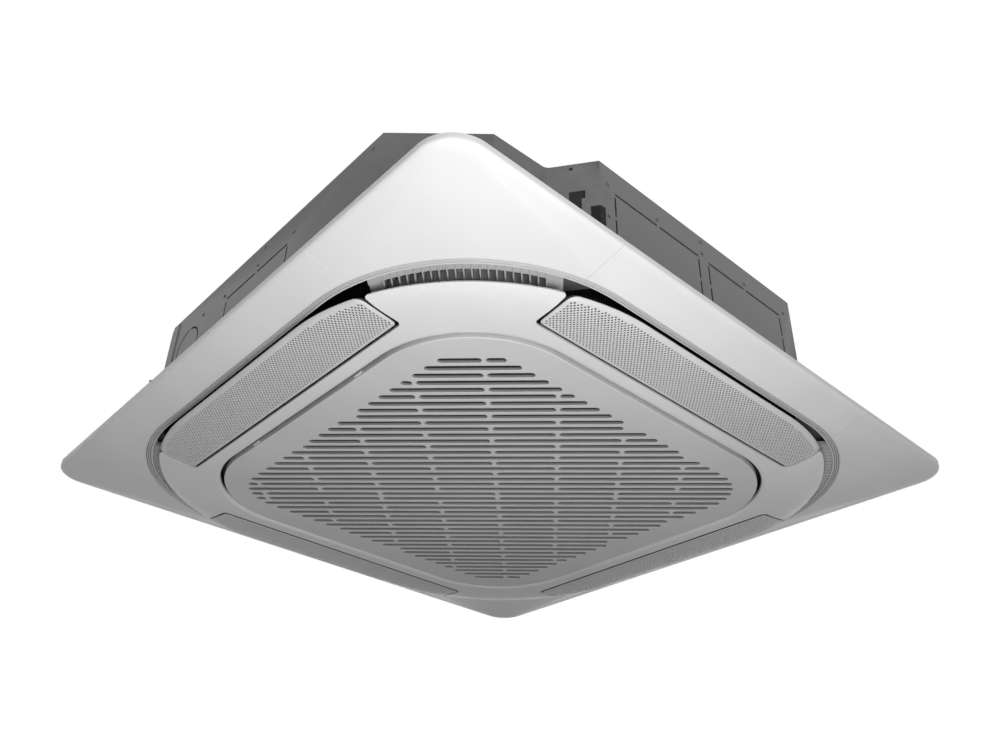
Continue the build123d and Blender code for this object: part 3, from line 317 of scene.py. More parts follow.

# %% [markdown]
# The outside is white plastic and dull zinc, the inside dark plastic and foam. Their dark tone is partly
# their own colour and partly painted shade of the inside, so that little shows through the slots. Metals
# get a low roughness and a finer grain than plastics.

# %% Plastics, foam and metals
white_plastic = finish_of("panel_plastic", grey(0.78, 0.004), grey(0.82, 0.004), 0.36)
blade_plastic = finish_of("blade_plastic", grey(0.67, 0.004), grey(0.71, 0.004), 0.38)
grille_plastic = finish_of("grille_plastic", grey(0.66, 0.004), grey(0.70, 0.004), 0.40)
duct_plastic = finish_of("duct_plastic", grey(0.055), grey(0.075), 0.55, Scale=700.0)
tray_plastic = finish_of("tray_plastic", grey(0.045), grey(0.06), 0.5, Scale=700.0)
comb_plastic = finish_of("comb_plastic", grey(0.40), grey(0.46), 0.45, Scale=700.0)
latch_plastic = finish_of("latch_plastic", grey(0.70, 0.004), grey(0.74, 0.004), 0.45, Scale=800.0)
steel = finish_of("sheet_steel", grey(0.16), grey(0.19), 0.45, group=spangle, metallic=0.3, Scale=120.0)
foam = finish_of("foam", grey(0.035), grey(0.05), 0.95, Scale=420.0, Depth=0.0006)
polystyrene = finish_of("polystyrene", grey(0.10), grey(0.14), 0.85, Scale=260.0, Depth=0.0005)
copper = finish_of("copper", (0.60, 0.26, 0.14), (0.78, 0.38, 0.22), 0.3, metallic=1.0, Scale=300.0,
                   Patches=26.0)
brass = finish_of("union_brass", (0.62, 0.45, 0.18), (0.76, 0.58, 0.27), 0.3, metallic=1.0, Scale=400.0)
fan_plastic = finish_of("fan_plastic", grey(0.045), grey(0.06), 0.5, Scale=600.0)
shaft_steel = finish_of("shaft_steel", grey(0.50), grey(0.60), 0.22, metallic=1.0, Scale=1500.0)
motor_metal = finish_of("motor_metal", grey(0.42), grey(0.52), 0.35, metallic=0.9, Scale=800.0)
rubber = finish_of("rubber", grey(0.022), grey(0.035), 0.75, Scale=1200.0, Depth=0.00006)
pump_plastic = finish_of("pump_plastic", (0.58, 0.58, 0.55), (0.64, 0.64, 0.61), 0.42)
terminal_plastic = finish_of("terminal_plastic", (0.62, 0.60, 0.52), (0.68, 0.66, 0.58), 0.45)
screw_steel = finish_of("screw_steel", grey(0.52), grey(0.62), 0.28, metallic=1.0, Scale=1400.0)
print("plain finishes:", len(bpy.data.materials))

# %% [markdown]
# The coil is hundreds of thin fins and the filter is a net. Both are far too fine to model, so stripes on
# object coordinates stand for them: one way for the fins, both ways for the net.

# %% Striped finishes
STRIPE_EDGE = 0.12


def banded(name, dark, light, rough, metallic, pitch_mm, share, two_ways=False):
    """Fine stripes across a surface: fin edges, or the threads of a net where they run both ways."""
    look, tree, shader = new_material(name)
    place = add(tree, "ShaderNodeSeparateXYZ", {"Vector": object_place(tree)})
    facing = add(tree, "ShaderNodeNewGeometry").outputs["Normal"]
    stripes = []
    for axis in ("X", "Y"):
        saw = calc(tree, "PINGPONG", calc(tree, "MULTIPLY", place.outputs[axis], 1000.0 / pitch_mm))
        edge = add(tree, "ShaderNodeMapRange", {"Value": saw, "From Min": share - STRIPE_EDGE,
                                                "From Max": share + STRIPE_EDGE})
        stripes.append(edge.outputs["Result"])
    if two_ways:
        mask = calc(tree, "MAXIMUM", stripes[0], stripes[1])
    else:
        turned = add(tree, "ShaderNodeSeparateXYZ", {"Vector": facing}).outputs["X"]
        sideways = calc(tree, "ABSOLUTE", turned)
        pick = calc(tree, "GREATER_THAN", sideways, 0.6)
        mask = add(tree, "ShaderNodeMix", {"Factor": pick, 2: stripes[0], 3: stripes[1]}).outputs[0]
    bump = add(tree, "ShaderNodeBump", {"Height": mask, "Distance": 0.0003})
    tree.links.new(blend(tree, mask, dark, light), shader.inputs["Base Color"])
    tree.links.new(bump.outputs["Normal"], shader.inputs["Normal"])
    shader.inputs["Roughness"].default_value = rough
    shader.inputs["Metallic"].default_value = metallic
    return look


fin_metal = banded("fin_aluminium", grey(0.10), grey(0.62), 0.35, 0.85, 1.6, 0.45)
net_look = banded("filter_mesh", grey(0.012), grey(0.05), 0.7, 0.0, 1.1, 0.72, two_ways=True)
print("striped finishes:", fin_metal.name, net_look.name)

# %% [markdown]
# Some pieces change colour with height. A slot's wall goes dark inwards and the outlet rim turns dark grey
# above its white lands: both are painted shade, of the deep slots and of the duct behind the rim. The parts
# on a circuit board are darker than the board, which is their own colour. A second tone is mixed in
# between two heights, so one mesh keeps one material.

# %% Finishes that change with height
def two_heights(look, low_mm, high_mm, tone):
    """Let a finish change to another tone between two heights of the piece."""
    tree = look.node_tree
    socket = tree.nodes["Principled BSDF"].inputs["Base Color"]
    before = socket.links[0].from_socket
    height = add(tree, "ShaderNodeSeparateXYZ", {"Vector": object_place(tree)}).outputs["Z"]
    share = add(tree, "ShaderNodeMapRange", {"Value": height, "From Min": low_mm / 1000,
                                             "From Max": high_mm / 1000})
    tree.links.new(blend(tree, share.outputs["Result"], before, tone), socket)


board_look = finish_of("board", (0.015, 0.10, 0.045), (0.02, 0.14, 0.06), 0.35, Scale=300.0)
two_heights(board_look, -9.25, -9.35, (0.03, 0.03, 0.032))
# Painted shade: the slot walls are darker than the grille and darker still towards the filter.
painted_slot_shade = finish_of("painted_slot_shade", grey(0.31), grey(0.35), 0.5)
two_heights(painted_slot_shade, -37.0, -35.2, grey(0.045))
# The rim is white below its lands; above them it turns dark grey, which is painted shade inside the duct.
rim_plastic_painted_shade = finish_of("rim_plastic_painted_shade", grey(0.64, 0.004), grey(0.68, 0.004), 0.36)
two_heights(rim_plastic_painted_shade, -20.9, -20.5, grey(0.14))
print("materials:", len(bpy.data.materials))

# %% [markdown]
# ## Light, floor and background
#
# A cassette is seen from below. The photograph is brightest at its near corner and falls off evenly, as
# under one soft lamp below that corner, so the key stands there. A second lamp lights the casing's walls,
# a third the far side. The world gives a plain fill and shows as white to the camera and in reflections.

# %% World
world = bpy.data.worlds.new("studio")
scene.world = world
world.use_nodes = True
tree = world.node_tree
tree.nodes.clear()
rays = add(tree, "ShaderNodeLightPath").outputs
seen = calc(tree, "MAXIMUM", rays["Is Camera Ray"], rays["Is Transmission Ray"])
seen = calc(tree, "MAXIMUM", seen, rays["Is Glossy Ray"])
fill = add(tree, "ShaderNodeBackground", {"Color": (0.085, 0.085, 0.085, 1.0), "Strength": 1.0})
paper = add(tree, "ShaderNodeBackground", {"Color": (1.0, 1.0, 1.0, 1.0), "Strength": 1.0})
either = add(tree, "ShaderNodeMixShader", {0: seen, 1: fill.outputs[0], 2: paper.outputs[0]})
add(tree, "ShaderNodeOutputWorld", {"Surface": either.outputs[0]})
print("world shows white to:", [ray for ray in rays.keys() if rays[ray].is_linked])

# %% Lamps
def lamp(name, spot, target, size, power):
    data = bpy.data.lights.new(name, "AREA")
    data.size = size
    data.energy = power
    made = bpy.data.objects.new(name, data)
    scene.collection.objects.link(made)
    made.location = spot
    made.rotation_euler = (Vector(target) - Vector(spot)).to_track_quat("-Z", "Y").to_euler()
    made.visible_camera = False


lamp("key", (1.04, -0.65, -0.92), (0.95, -0.85, 0.0), 0.9, 18.5)
lamp("side", (2.0, -2.1, 0.7), (0.3, -0.3, 0.08), 1.2, 15.0)
lamp("back", (-1.7, 1.7, 0.9), (0.0, 0.0, 0.05), 1.4, 14.0)
print("lamps:", [item.name for item in bpy.data.lights])

# %% [markdown]
# The unit hangs above its floor, which catches its shadow. More light would be needed to make so distant
# a floor pale, and would spoil the unit, so the floor adds some white of its own for the camera alone.
# From below it is clear, because the photograph looks up.

# %% Floor
FLOOR_DROP, FLOOR_HALF = 1500, 6000
bm = bmesh.new()
bmesh.ops.create_grid(bm, x_segments=1, y_segments=1, size=FLOOR_HALF,
                      matrix=Matrix.Translation((0, 0, -FLOOR_DROP)))
bmesh.ops.scale(bm, vec=(0.001, 0.001, 0.001), verts=bm.verts)
floor_mesh = bpy.data.meshes.new("floor")
bm.to_mesh(floor_mesh)
bm.free()
floor = bpy.data.objects.new("floor", floor_mesh)
scene.collection.objects.link(floor)
floor_look, tree, shader = new_material("floor")
shader.inputs["Roughness"].default_value = 0.9
shade = add(tree, "ShaderNodeTexNoise", {"Vector": object_place(tree), "Scale": 2.0})
tree.links.new(blend(tree, shade.outputs["Fac"], grey(0.80), grey(0.83)), shader.inputs["Base Color"])
own_white = calc(tree, "MULTIPLY", add(tree, "ShaderNodeLightPath").outputs["Is Camera Ray"], 0.6)
glow = add(tree, "ShaderNodeEmission", {"Color": (1.0, 1.0, 1.0, 1.0), "Strength": 1.0})
lifted = add(tree, "ShaderNodeMixShader", {0: own_white, 1: shader.outputs[0], 2: glow.outputs[0]})
below = add(tree, "ShaderNodeNewGeometry").outputs["Backfacing"]
clear = add(tree, "ShaderNodeBsdfTransparent")
through = add(tree, "ShaderNodeMixShader", {0: below, 1: lifted.outputs[0], 2: clear.outputs[0]})
tree.links.new(through.outputs[0], tree.nodes["Material Output"].inputs["Surface"])
floor_mesh.materials.append(floor_look)
print("floor is", FLOOR_DROP, "mm below the ceiling plane")

# %% [markdown]
# ## Panel frame and corner covers
#
# The frame is one thin moulded skin: a straight band at the ceiling, a rounded shoulder, and a face that
# falls to the outlet while its corners open out. Rounded squares are drawn at the stations of that
# profile and bridged. The same skin is cut at the seams: the sides stay with the frame, the corners
# become the covers.

# %% Panel frame and covers
SEAM, SEAM_GAP = 240.0, 0.4
PANEL_WALL, BASE_Z = 2.6, -2.0
FACE_STEPS, FACE_FALL = 8, 9.7
panel_profile = [(475.0, 45.0, 0.0), (475.0, 45.0, -3.2), (475.0, 45.0, -6.5), (474.75, 44.75, -7.6),
                 (473.9, 43.9, -8.82), (472.4, 42.4, -9.9), (470.3, 40.3, -10.79), (466.8, 36.8, -11.7),
                 (463.0, 33.0, -12.3)]
for step in range(1, FACE_STEPS + 1):
    share = step / FACE_STEPS
    fall = FACE_FALL * (0.85 * share + 0.15 * share ** 2)
    panel_profile.append((463.0 - 35.0 * share, 33.0 + 209.0 * share, -12.3 - fall))


def panel_skin(seam):
    bm = bmesh.new()
    stack(bm, panel_profile)
    for across in (Vector((1, 0, 0)), Vector((0, 1, 0))):
        for end in (-seam, seam):
            cut(bm, across * end, across)
    return bm


def in_corner(face, seam):
    middle = face.calc_center_median()
    return abs(middle.x) > seam and abs(middle.y) > seam


bm = panel_skin(SEAM - SEAM_GAP)
bmesh.ops.delete(bm, geom=[face for face in bm.faces if in_corner(face, SEAM - SEAM_GAP)], context="FACES")
face_down(bm)
base = bmesh.new()
base_loops = rounded(base, 472.4, 42.4, BASE_Z) + rounded(base, 420.2, 234.2, BASE_Z)
bmesh.ops.bridge_loops(base, edges=base_loops)
bmesh.ops.recalc_face_normals(base, faces=base.faces)
if base.faces[:][0].normal.z < 0:
    bmesh.ops.reverse_faces(base, faces=base.faces)
merge_into(bm, base)
publish("panel_frame_skin", bm, [white_plastic], "panel_frame", wall=PANEL_WALL,
        soft=0.3)

# %% [markdown]
# Each corner cover is the same skin, turned a quarter further, with everything but its own corner
# deleted. So face and covers run into each other without a step, and only the seam shows.

# %% Corner covers
turns = {"front_right": 0, "back_right": 90, "back_left": 180, "front_left": 270}
for corner, turn in turns.items():
    bm = panel_skin(SEAM)
    bmesh.ops.rotate(bm, verts=bm.verts, matrix=about_z(turn))
    heading_x = 1 if corner.endswith("right") else -1
    heading_y = 1 if corner.startswith("back") else -1
    others = [face for face in bm.faces if not in_corner(face, SEAM)
              or face.calc_center_median().x * heading_x < 0 or face.calc_center_median().y * heading_y < 0]
    bmesh.ops.delete(bm, geom=others, context="FACES")
    face_down(bm)
    publish("cover_" + corner, bm, [white_plastic], "corner_cover_" + corner,
            wall=PANEL_WALL, soft=0.3)

# %% [markdown]
# ## The cushion form
#
# Surround and blades share one shallow cushion. Its outlines are rounded squares whose size and corner
# radius change together. `cushion_z` finds by halving which outline runs through a point, and gives its
# height.

# %% Cushion form
OUTER_HALF, OUTER_RADIUS = 422.0, 283.0
FLAT_HALF, FLAT_RADIUS = 365.0, 200.0
CUSHION_EDGE_Z, CUSHION_DEPTH, HALVINGS = -32.5, 7.5, 22


def reach_beyond(x, y, half, radius):
    """How far a point lies outside a rounded square, negative inside."""
    centre = half - radius
    across, along = abs(x) - centre, abs(y) - centre
    return math.hypot(max(across, 0), max(along, 0)) + min(max(across, along), 0) - radius


def cushion_z(x, y):
    low, high = 0.0, 1.0
    for _ in range(HALVINGS):
        share = (low + high) / 2
        half = OUTER_HALF + (FLAT_HALF - OUTER_HALF) * share
        radius = OUTER_RADIUS + (FLAT_RADIUS - OUTER_RADIUS) * share
        if reach_beyond(x, y, half, radius) > 0:
            high = share
        else:
            low = share
    return CUSHION_EDGE_Z - CUSHION_DEPTH * (1 - (1 - share) ** (3.2 - 2.1 * share))


def lift(verts):
    for vert in verts:
        vert.co.z = cushion_z(vert.co.x, vert.co.y)


print("cushion height from the middle to the edge:", [round(cushion_z(0, y), 2) for y in (0, -390, -421.9)])

# %% [markdown]
# ## Centre surround
#
# In plan it is the cushion's outline with a notch for each blade and a round-cornered door opening. The
# plan is drawn flat, its corners are rounded, it is cut into a net of small cells and then lifted onto
# the cushion.

# %% Centre surround
NOTCH_INNER, NOTCH_HALF = 345.7, 243.2
NOTCH_FLARE, NOTCH_DEPTH = 3.6, 80.3
QUARTERS = (0, 90, 180, 270)


def quarter(point, turn):
    return about_z(turn) @ Vector(point)


def round_corners(bm, spots, offset, segments=6):
    """Round the outline's corners that lie nearest to the given spots."""
    corners = list({min(bm.verts, key=lambda vert: (vert.co - spot).length) for spot in spots})
    crowd = [vert for vert in bm.verts if vert not in corners
             and any((vert.co - corner.co).length < offset * 1.05 for corner in corners)]
    bmesh.ops.dissolve_verts(bm, verts=crowd)
    bmesh.ops.bevel(bm, geom=corners, offset=offset, offset_type="OFFSET", segments=segments, profile=0.5,
                    affect="VERTICES", material=-1)
    return len(corners)


bm = bmesh.new()
rounded(bm, OUTER_HALF, OUTER_RADIUS, 0.0, 40, keep_face=True)
for turn in QUARTERS:
    cut(bm, quarter((0, -NOTCH_INNER, 0), turn), quarter((0, -1, 0), turn))
    for end in (1, -1):
        flare = Vector((end * NOTCH_DEPTH, NOTCH_FLARE, 0)).normalized()
        cut(bm, quarter((end * NOTCH_HALF, -NOTCH_INNER, 0), turn), quarter(flare, turn))


def in_notch(face):
    for turn in QUARTERS:
        local = quarter(face.calc_center_median(), -turn)
        depth = -local.y - NOTCH_INNER
        if depth > 0 and abs(local.x) < NOTCH_HALF + depth * NOTCH_FLARE / NOTCH_DEPTH:
            return True
    return False


def on_each_side(x, y):
    return [quarter((end * x, y, 0), turn) for end in (-1, 1) for turn in QUARTERS]


bmesh.ops.delete(bm, geom=[face for face in bm.faces if in_notch(face)], context="FACES")
bmesh.ops.dissolve_faces(bm, faces=bm.faces[:])
print("notch corners:", round_corners(bm, on_each_side(NOTCH_HALF, -NOTCH_INNER), 7.0))
print("lobe tips:", round_corners(bm, on_each_side(245.67, -400.75), 5.5))
bmesh.ops.delete(bm, geom=bm.faces[:], context="FACES_ONLY")

# %% [markdown]
# The filled plan would be a few huge triangles, which can't follow a curved form. Cutting it every 12 mm
# both ways gives it enough points to lift. The door opening's edge is a quarter round, drawn as a stack
# of outlines.

# %% Surround skin
DOOR_HALF, DOOR_LIP, DOOR_CORNER = 323.5, 7.5, 174.0
NET_PITCH, NET_REACH = 12, 420
rounded(bm, DOOR_HALF + DOOR_LIP, DOOR_HALF + DOOR_LIP - DOOR_CORNER, 0.0)
bmesh.ops.triangle_fill(bm, edges=bm.edges[:], use_beauty=True)
for line in range(-NET_REACH, NET_REACH + 1, NET_PITCH):
    cut(bm, (line, 0, 0), (1, 0, 0))
    cut(bm, (0, line, 0), (0, 1, 0))
lift(bm.verts)
soft_edge = []
for step in range(0, 9):
    turn = math.radians(90 * step / 8)
    half = DOOR_HALF + (7.0 * (1 - math.sin(turn)) if step else DOOR_LIP)
    soft_edge.append((half, half - DOOR_CORNER, -40.0 + 4.0 * (1 - math.cos(turn))))
soft_edge.append((DOOR_HALF, DOOR_HALF - DOOR_CORNER, -33.0))
stack(bm, soft_edge)
bmesh.ops.remove_doubles(bm, verts=bm.verts, dist=0.02)
face_down(bm)
publish("surround_skin", bm, [white_plastic], "centre_surround", wall=2.7, soft=1.1,
        steps=3, sharp=50)

# %% [markdown]
# ## Air blades
#
# A blade is a thin perforated skin on the same cushion, with a shallow dark tray behind it. Both start
# from one plan: the cushion's outline, cut along the inner edge and at two slightly flared ends, with
# rounded corners.

# %% Blade plan
BLADE_INNER, BLADE_HALF = 350.3, 239.5
BLADE_FLARE, BLADE_DEPTH = 3.6, 71.7


def blade_outline(bm):
    """The blade's plan for the front side, as one face."""
    rounded(bm, OUTER_HALF, OUTER_RADIUS, 0.0, 40, keep_face=True)
    cut(bm, (0, -BLADE_INNER, 0), (0, 1, 0), True)
    for end in (1, -1):
        flare = Vector((end * BLADE_DEPTH, BLADE_FLARE, 0)).normalized()
        cut(bm, (end * BLADE_HALF, -BLADE_INNER, 0), flare, True)
    bmesh.ops.dissolve_faces(bm, faces=bm.faces[:])
    near = max(vert.co.x for vert in bm.verts)
    outer = [vert.co.copy() for vert in bm.verts if abs(vert.co.x) > near - 0.05]
    round_corners(bm, outer, 10.0, 8)
    round_corners(bm, [Vector((end * BLADE_HALF, -BLADE_INNER, 0)) for end in (-1, 1)], 5.0)


bm = bmesh.new()
blade_outline(bm)
rim = [(edge.verts[0].co.copy(), edge.verts[1].co.copy()) for edge in bm.edges]
bmesh.ops.delete(bm, geom=bm.faces[:], context="FACES_ONLY")
print("points round the blade's plan:", len(bm.verts))

# %% [markdown]
# Real perforation is punched or moulded, hole by hole. Here one diamond cell with an eight-sided hole is
# drawn and repeated three times: once diagonally, then along the blade, then across it. A spin with no
# angle does that and lays cell against cell.

# %% Field of holes
CELL, HOLE = 2.667, 1.15
CELLS_ALONG, CELLS_ACROSS, FIELD_START = 92, 15, 160
field = bmesh.new()
bmesh.ops.create_circle(field, segments=8, radius=HOLE)
bmesh.ops.create_circle(field, segments=4, radius=CELL)
bmesh.ops.bridge_loops(field, edges=field.edges[:])
bmesh.ops.translate(field, verts=field.verts, vec=(-CELL * CELLS_ALONG, -CELL * FIELD_START, 0))
repeats = (((CELL, CELL, 0), 1), ((2 * CELL, 0, 0), CELLS_ALONG), ((0, 2 * CELL, 0), CELLS_ACROSS))
for step, count in repeats:
    bmesh.ops.spin(field, geom=everything(field), cent=(0, 0, 0), axis=(0, 0, 1), dvec=step, angle=0.0,
                   steps=count, use_duplicate=True)


def cell_centre(point):
    """The middle of the diamond cell that a point lies in."""
    first = round((point.x + point.y) / (2 * CELL))
    second = round((point.x - point.y) / (2 * CELL))
    return ((first + second) * CELL, (first - second) * CELL)


print("faces in the field:", len(field.faces))

# %% [markdown]
# The holes stop short of the edge and leave a plain border. Cells too near the outline are dropped, and
# what lies between the last cells and the outline is filled. Each cell is judged once, by its centre.

# %% Perforated skin
OUTER_BORDER, PLAIN_BORDER = 7.6, 4.3
kept = {}


def distance_to(point, start, end):
    along = end - start
    share = max(0.0, min(1.0, (point - start).dot(along) / along.length_squared))
    return (point - start - along * share).length


def cell_fits(spot):
    if spot not in kept:
        point = Vector((*spot, 0))
        inside = -point.y > BLADE_INNER and abs(point.x) < BLADE_HALF
        inside = inside and reach_beyond(*spot, OUTER_HALF, OUTER_RADIUS) < -OUTER_BORDER
        kept[spot] = inside and min(distance_to(point, *edge) for edge in rim) > PLAIN_BORDER
    return kept[spot]


outside = [face for face in field.faces if not cell_fits(cell_centre(face.calc_center_median()))]
bmesh.ops.delete(field, geom=outside, context="FACES")
bmesh.ops.remove_doubles(field, verts=field.verts, dist=0.01)
merge_into(bm, field)


def on_border(edge):
    """True for the outline, and for the field's own edge but not for the holes'."""
    middle = (edge.verts[0].co + edge.verts[1].co) / 2
    from_hole = (middle - Vector((*cell_centre(middle), 0))).length - HOLE
    return not edge.link_faces or (len(edge.link_faces) == 1 and from_hole > 0.1)


border = [edge for edge in bm.edges if on_border(edge)]
bmesh.ops.triangle_fill(bm, edges=border, use_beauty=True)
bmesh.ops.remove_doubles(bm, verts=bm.verts, dist=0.01)
lift(bm.verts)
face_down(bm)
perforated = bpy.data.meshes.new("perforated")
bm.to_mesh(perforated)
bm.free()
print("cells kept:", sum(kept.values()), "blade skin faces:", len(perforated.polygons))

# %% [markdown]
# Behind the skin is a shallow tray: the same plan, extruded, with its lower rim laid on the cushion. At
# the inner edge two ears stand up, each with the pin that it turns on. One pin is longer, as it meets the
# motor.

# %% Tray, ears and pins
EAR_X, EAR_Y, EAR_Z = (233.0, 239.5), (-361.0, -351.0), (-33.5, -25.5)
PIN_X, PIN_Y, PIN_Z, PIN_RADIUS = 236.5, -356.0, -30.0, 2.5
TRAY_BACK_Z, SKIN_WALL = -31.0, 0.6


def bar(bm, across, along, height):
    """A block between two X, two Y and two Z values."""
    spans = (across, along, height)
    middle = Matrix.Translation([(low + high) / 2 for low, high in spans])
    size = Matrix.Diagonal([high - low for low, high in spans] + [1.0])
    return bmesh.ops.create_cube(bm, size=1.0, matrix=middle @ size)["verts"]


def rod(bm, centre, radius, length):
    """A round bar along X."""
    spot = Matrix.Translation(centre) @ Matrix.Rotation(math.pi / 2, 4, "Y")
    bmesh.ops.create_cone(bm, segments=24, radius1=radius, radius2=radius, depth=length, cap_ends=True,
                          matrix=spot)


def blade_tray():
    """Side walls and back of the blade, its ears and the pins they turn on."""
    bm = bmesh.new()
    blade_outline(bm)
    face = bm.faces[:][0]
    walls = bmesh.ops.extrude_face_region(bm, geom=[face])["geom"]
    upper = [item for item in walls if isinstance(item, bmesh.types.BMVert)]
    lower = [vert for vert in bm.verts if vert not in upper]
    for vert in lower:
        vert.co.z = cushion_z(vert.co.x, vert.co.y) + SKIN_WALL
    for vert in upper:
        vert.co.z = TRAY_BACK_Z
    under = [item for item in bm.faces if all(vert in lower for vert in item.verts)]
    bmesh.ops.delete(bm, geom=under, context="FACES_ONLY")
    bmesh.ops.recalc_face_normals(bm, faces=bm.faces)
    for end in (-1, 1):
        made = bar(bm, sorted(end * x for x in EAR_X), EAR_Y, EAR_Z)
        sideways = {edge for vert in made for edge in vert.link_edges
                    if abs(edge.verts[0].co.x - edge.verts[1].co.x) > 1}
        bmesh.ops.bevel(bm, geom=list(sideways), offset=2.0, segments=4, profile=0.5, affect="EDGES",
                        material=-1)
    for end, length in ((-1, 15.5), (1, 21.5)):
        rod(bm, (end * (PIN_X + length / 2), PIN_Y, PIN_Z), PIN_RADIUS, length)
    return bm


print("the blades turn on pins", 2 * PIN_RADIUS, "mm thick, at", -PIN_Y, "mm from the middle")

# %% [markdown]
# The four blades are one design turned round the unit, each on its own body. Skin and tray both stand for
# the same CAD node.

# %% Four air blades
sides = {"front": 0, "right": 90, "back": 180, "left": 270}
for name, turn in sides.items():
    node, body = "air_blade_" + name, "blade_" + name
    bm = bmesh.new()
    bm.from_mesh(perforated)
    bmesh.ops.rotate(bm, verts=bm.verts, matrix=about_z(turn))
    publish("blade_skin_" + name, bm, [blade_plastic], node, body, wall=SKIN_WALL,
            even=False)
    bm = blade_tray()
    bmesh.ops.rotate(bm, verts=bm.verts, matrix=about_z(turn))
    publish("blade_tray_" + name, bm, [tray_plastic], node, body, soft=0.3)

# %% [markdown]
# ## Intake grille
#
# The door is a flat plate with 44 rows of round-ended slots across its diagonal. A row is as long as the
# rounded field allows, and short ribs break it in every second column. Two functions give these lengths.

# %% Rows of slots
GRILLE_HALF, GRILLE_RADIUS = 317.5, 143.5
FACE_Z, PLATE_Z = -40.0, -37.5
ROWS, PITCH, SLOT = 44, 15.976, 9.8
FIELD_HALF, FIELD_RADIUS = 272.5, 70.0
RIB_PITCH, RIB_WIDTH, RIB_START = 87.43, 5.0, 14.0
COLLAR_Z, COLLAR_WALL = -34.4, 0.8


def row_reach(v):
    """Half length of a row that crosses the diagonal at v, inside the rounded field."""
    corner = (FIELD_HALF - FIELD_RADIUS) * math.sqrt(2)
    v = abs(v)
    if v < FIELD_RADIUS / math.sqrt(2):
        return corner + math.sqrt(FIELD_RADIUS ** 2 - v ** 2)
    if v > corner + FIELD_RADIUS / math.sqrt(2):
        return math.sqrt(max(FIELD_RADIUS ** 2 - (v - corner) ** 2, 0.0))
    return FIELD_HALF * math.sqrt(2) - v


def row_slots(row):
    """Start and end of each slot in a row; the ribs change columns from row to row."""
    shift = row if row < ROWS / 2 + 1 else row + 1
    reach = row_reach(row_place(row))
    ribs = [RIB_START + column * RIB_PITCH for column in range(-4, 5) if (column + shift) % 2 == 0]
    edges = [-reach]
    for rib in ribs:
        if abs(rib) < reach:
            edges += [rib - RIB_WIDTH / 2, rib + RIB_WIDTH / 2]
    edges.append(reach)
    return [(start, stop) for start, stop in zip(edges[0::2], edges[1::2]) if stop - start > SLOT + 0.5]


def row_place(row):
    return (row - (ROWS - 1) / 2) * PITCH


print("half lengths of the first rows:", [round(row_reach(row_place(row))) for row in range(3)])

# %% [markdown]
# The plate is two flat sheets round the slots. On the real door they are one moulding, and a boolean cut
# of 145 slots would do it too, but slowly and with poor edges. Here every slot brings its own lip and
# wall, and `triangle_fill` closes the plate between them. The walls take a darker finish that darkens
# further inwards, which is painted shade of the deep slots.

# %% Slotted plate
LIP = ((0.7, 0.0), (0.35, 0.1), (0.1, 0.35), (0.0, 0.7))
LIP_HEIGHT = 0.6
bm = bmesh.new()
count = 0
for row in range(ROWS):
    for start, stop in row_slots(row):
        slot = bmesh.new()
        half = (stop - start) / 2
        stations = [(grow, FACE_Z + drop) for grow, drop in LIP]
        stations += [(0.0, COLLAR_Z), (COLLAR_WALL, COLLAR_Z), (COLLAR_WALL, PLATE_Z)]
        loops = [rounded(slot, half + grow, SLOT / 2 + grow - 0.05, z, 6, SLOT / 2 + grow)
                 for grow, z in stations]
        for lower, upper in zip(loops, loops[1:]):
            bmesh.ops.bridge_loops(slot, edges=lower + upper)
        # Faces above the lip take the second material, the painted shade of the slot walls.
        for face in slot.faces:
            face.material_index = int(face.calc_center_median().z > FACE_Z + LIP_HEIGHT)
        bmesh.ops.translate(slot, verts=slot.verts, vec=((start + stop) / 2, row_place(row), 0))
        bmesh.ops.rotate(slot, verts=slot.verts, matrix=about_z(45))
        merge_into(bm, slot)
        count += 1
rounding = ((1.2, 0.0), (0.35, 0.35), (0.0, 1.2), (0.0, PLATE_Z - FACE_Z))
stack(bm, [(GRILLE_HALF - inset, GRILLE_RADIUS - inset, FACE_Z + rise) for inset, rise in rounding])
for height in (FACE_Z, PLATE_Z):
    edges = [edge for edge in bm.edges if len(edge.link_faces) < 2
             and all(abs(vert.co.z - height) < 0.01 for vert in edge.verts)]
    bmesh.ops.triangle_fill(bm, edges=edges, use_beauty=True)
bmesh.ops.recalc_face_normals(bm, faces=bm.faces)
print("slots:", count)
publish("grille_plate", bm, [grille_plastic, painted_slot_shade], "intake_grille", "grille",
        sharp=60, flat=True)

# %% [markdown]
# A rim wall stands on the plate's edge. It is left out at the two hinges and has a window for each latch.
# The wall is drawn whole and cut with planes along these places, and the faces between the cuts are taken
# out.

# %% Rim of the door
HINGE_X, HINGE_Y, HINGE_Z, HINGE_ROOM = 150.0, 309.0, -31.0, 16
LATCH_X, LATCH_HALF, LATCH_LOW, LATCH_HIGH = 120.0, 7.3, -36.8, -33.2
RIM_WALL, RIM_TOP = 2, FACE_Z + 10


def in_gap(face):
    """True for the wall at a hinge, and for both its sides at a latch's window."""
    middle = face.calc_center_median()
    at_hinge = middle.y > HINGE_Y and abs(abs(middle.x) - HINGE_X) < HINGE_ROOM
    at_latch = middle.y < -HINGE_Y and abs(abs(middle.x) - LATCH_X) < LATCH_HALF
    return at_hinge or (at_latch and LATCH_LOW < middle.z < LATCH_HIGH and abs(face.normal.z) < 0.5)


def open_edges(bm):
    return [edge for edge in bm.edges if len(edge.link_faces) == 1]


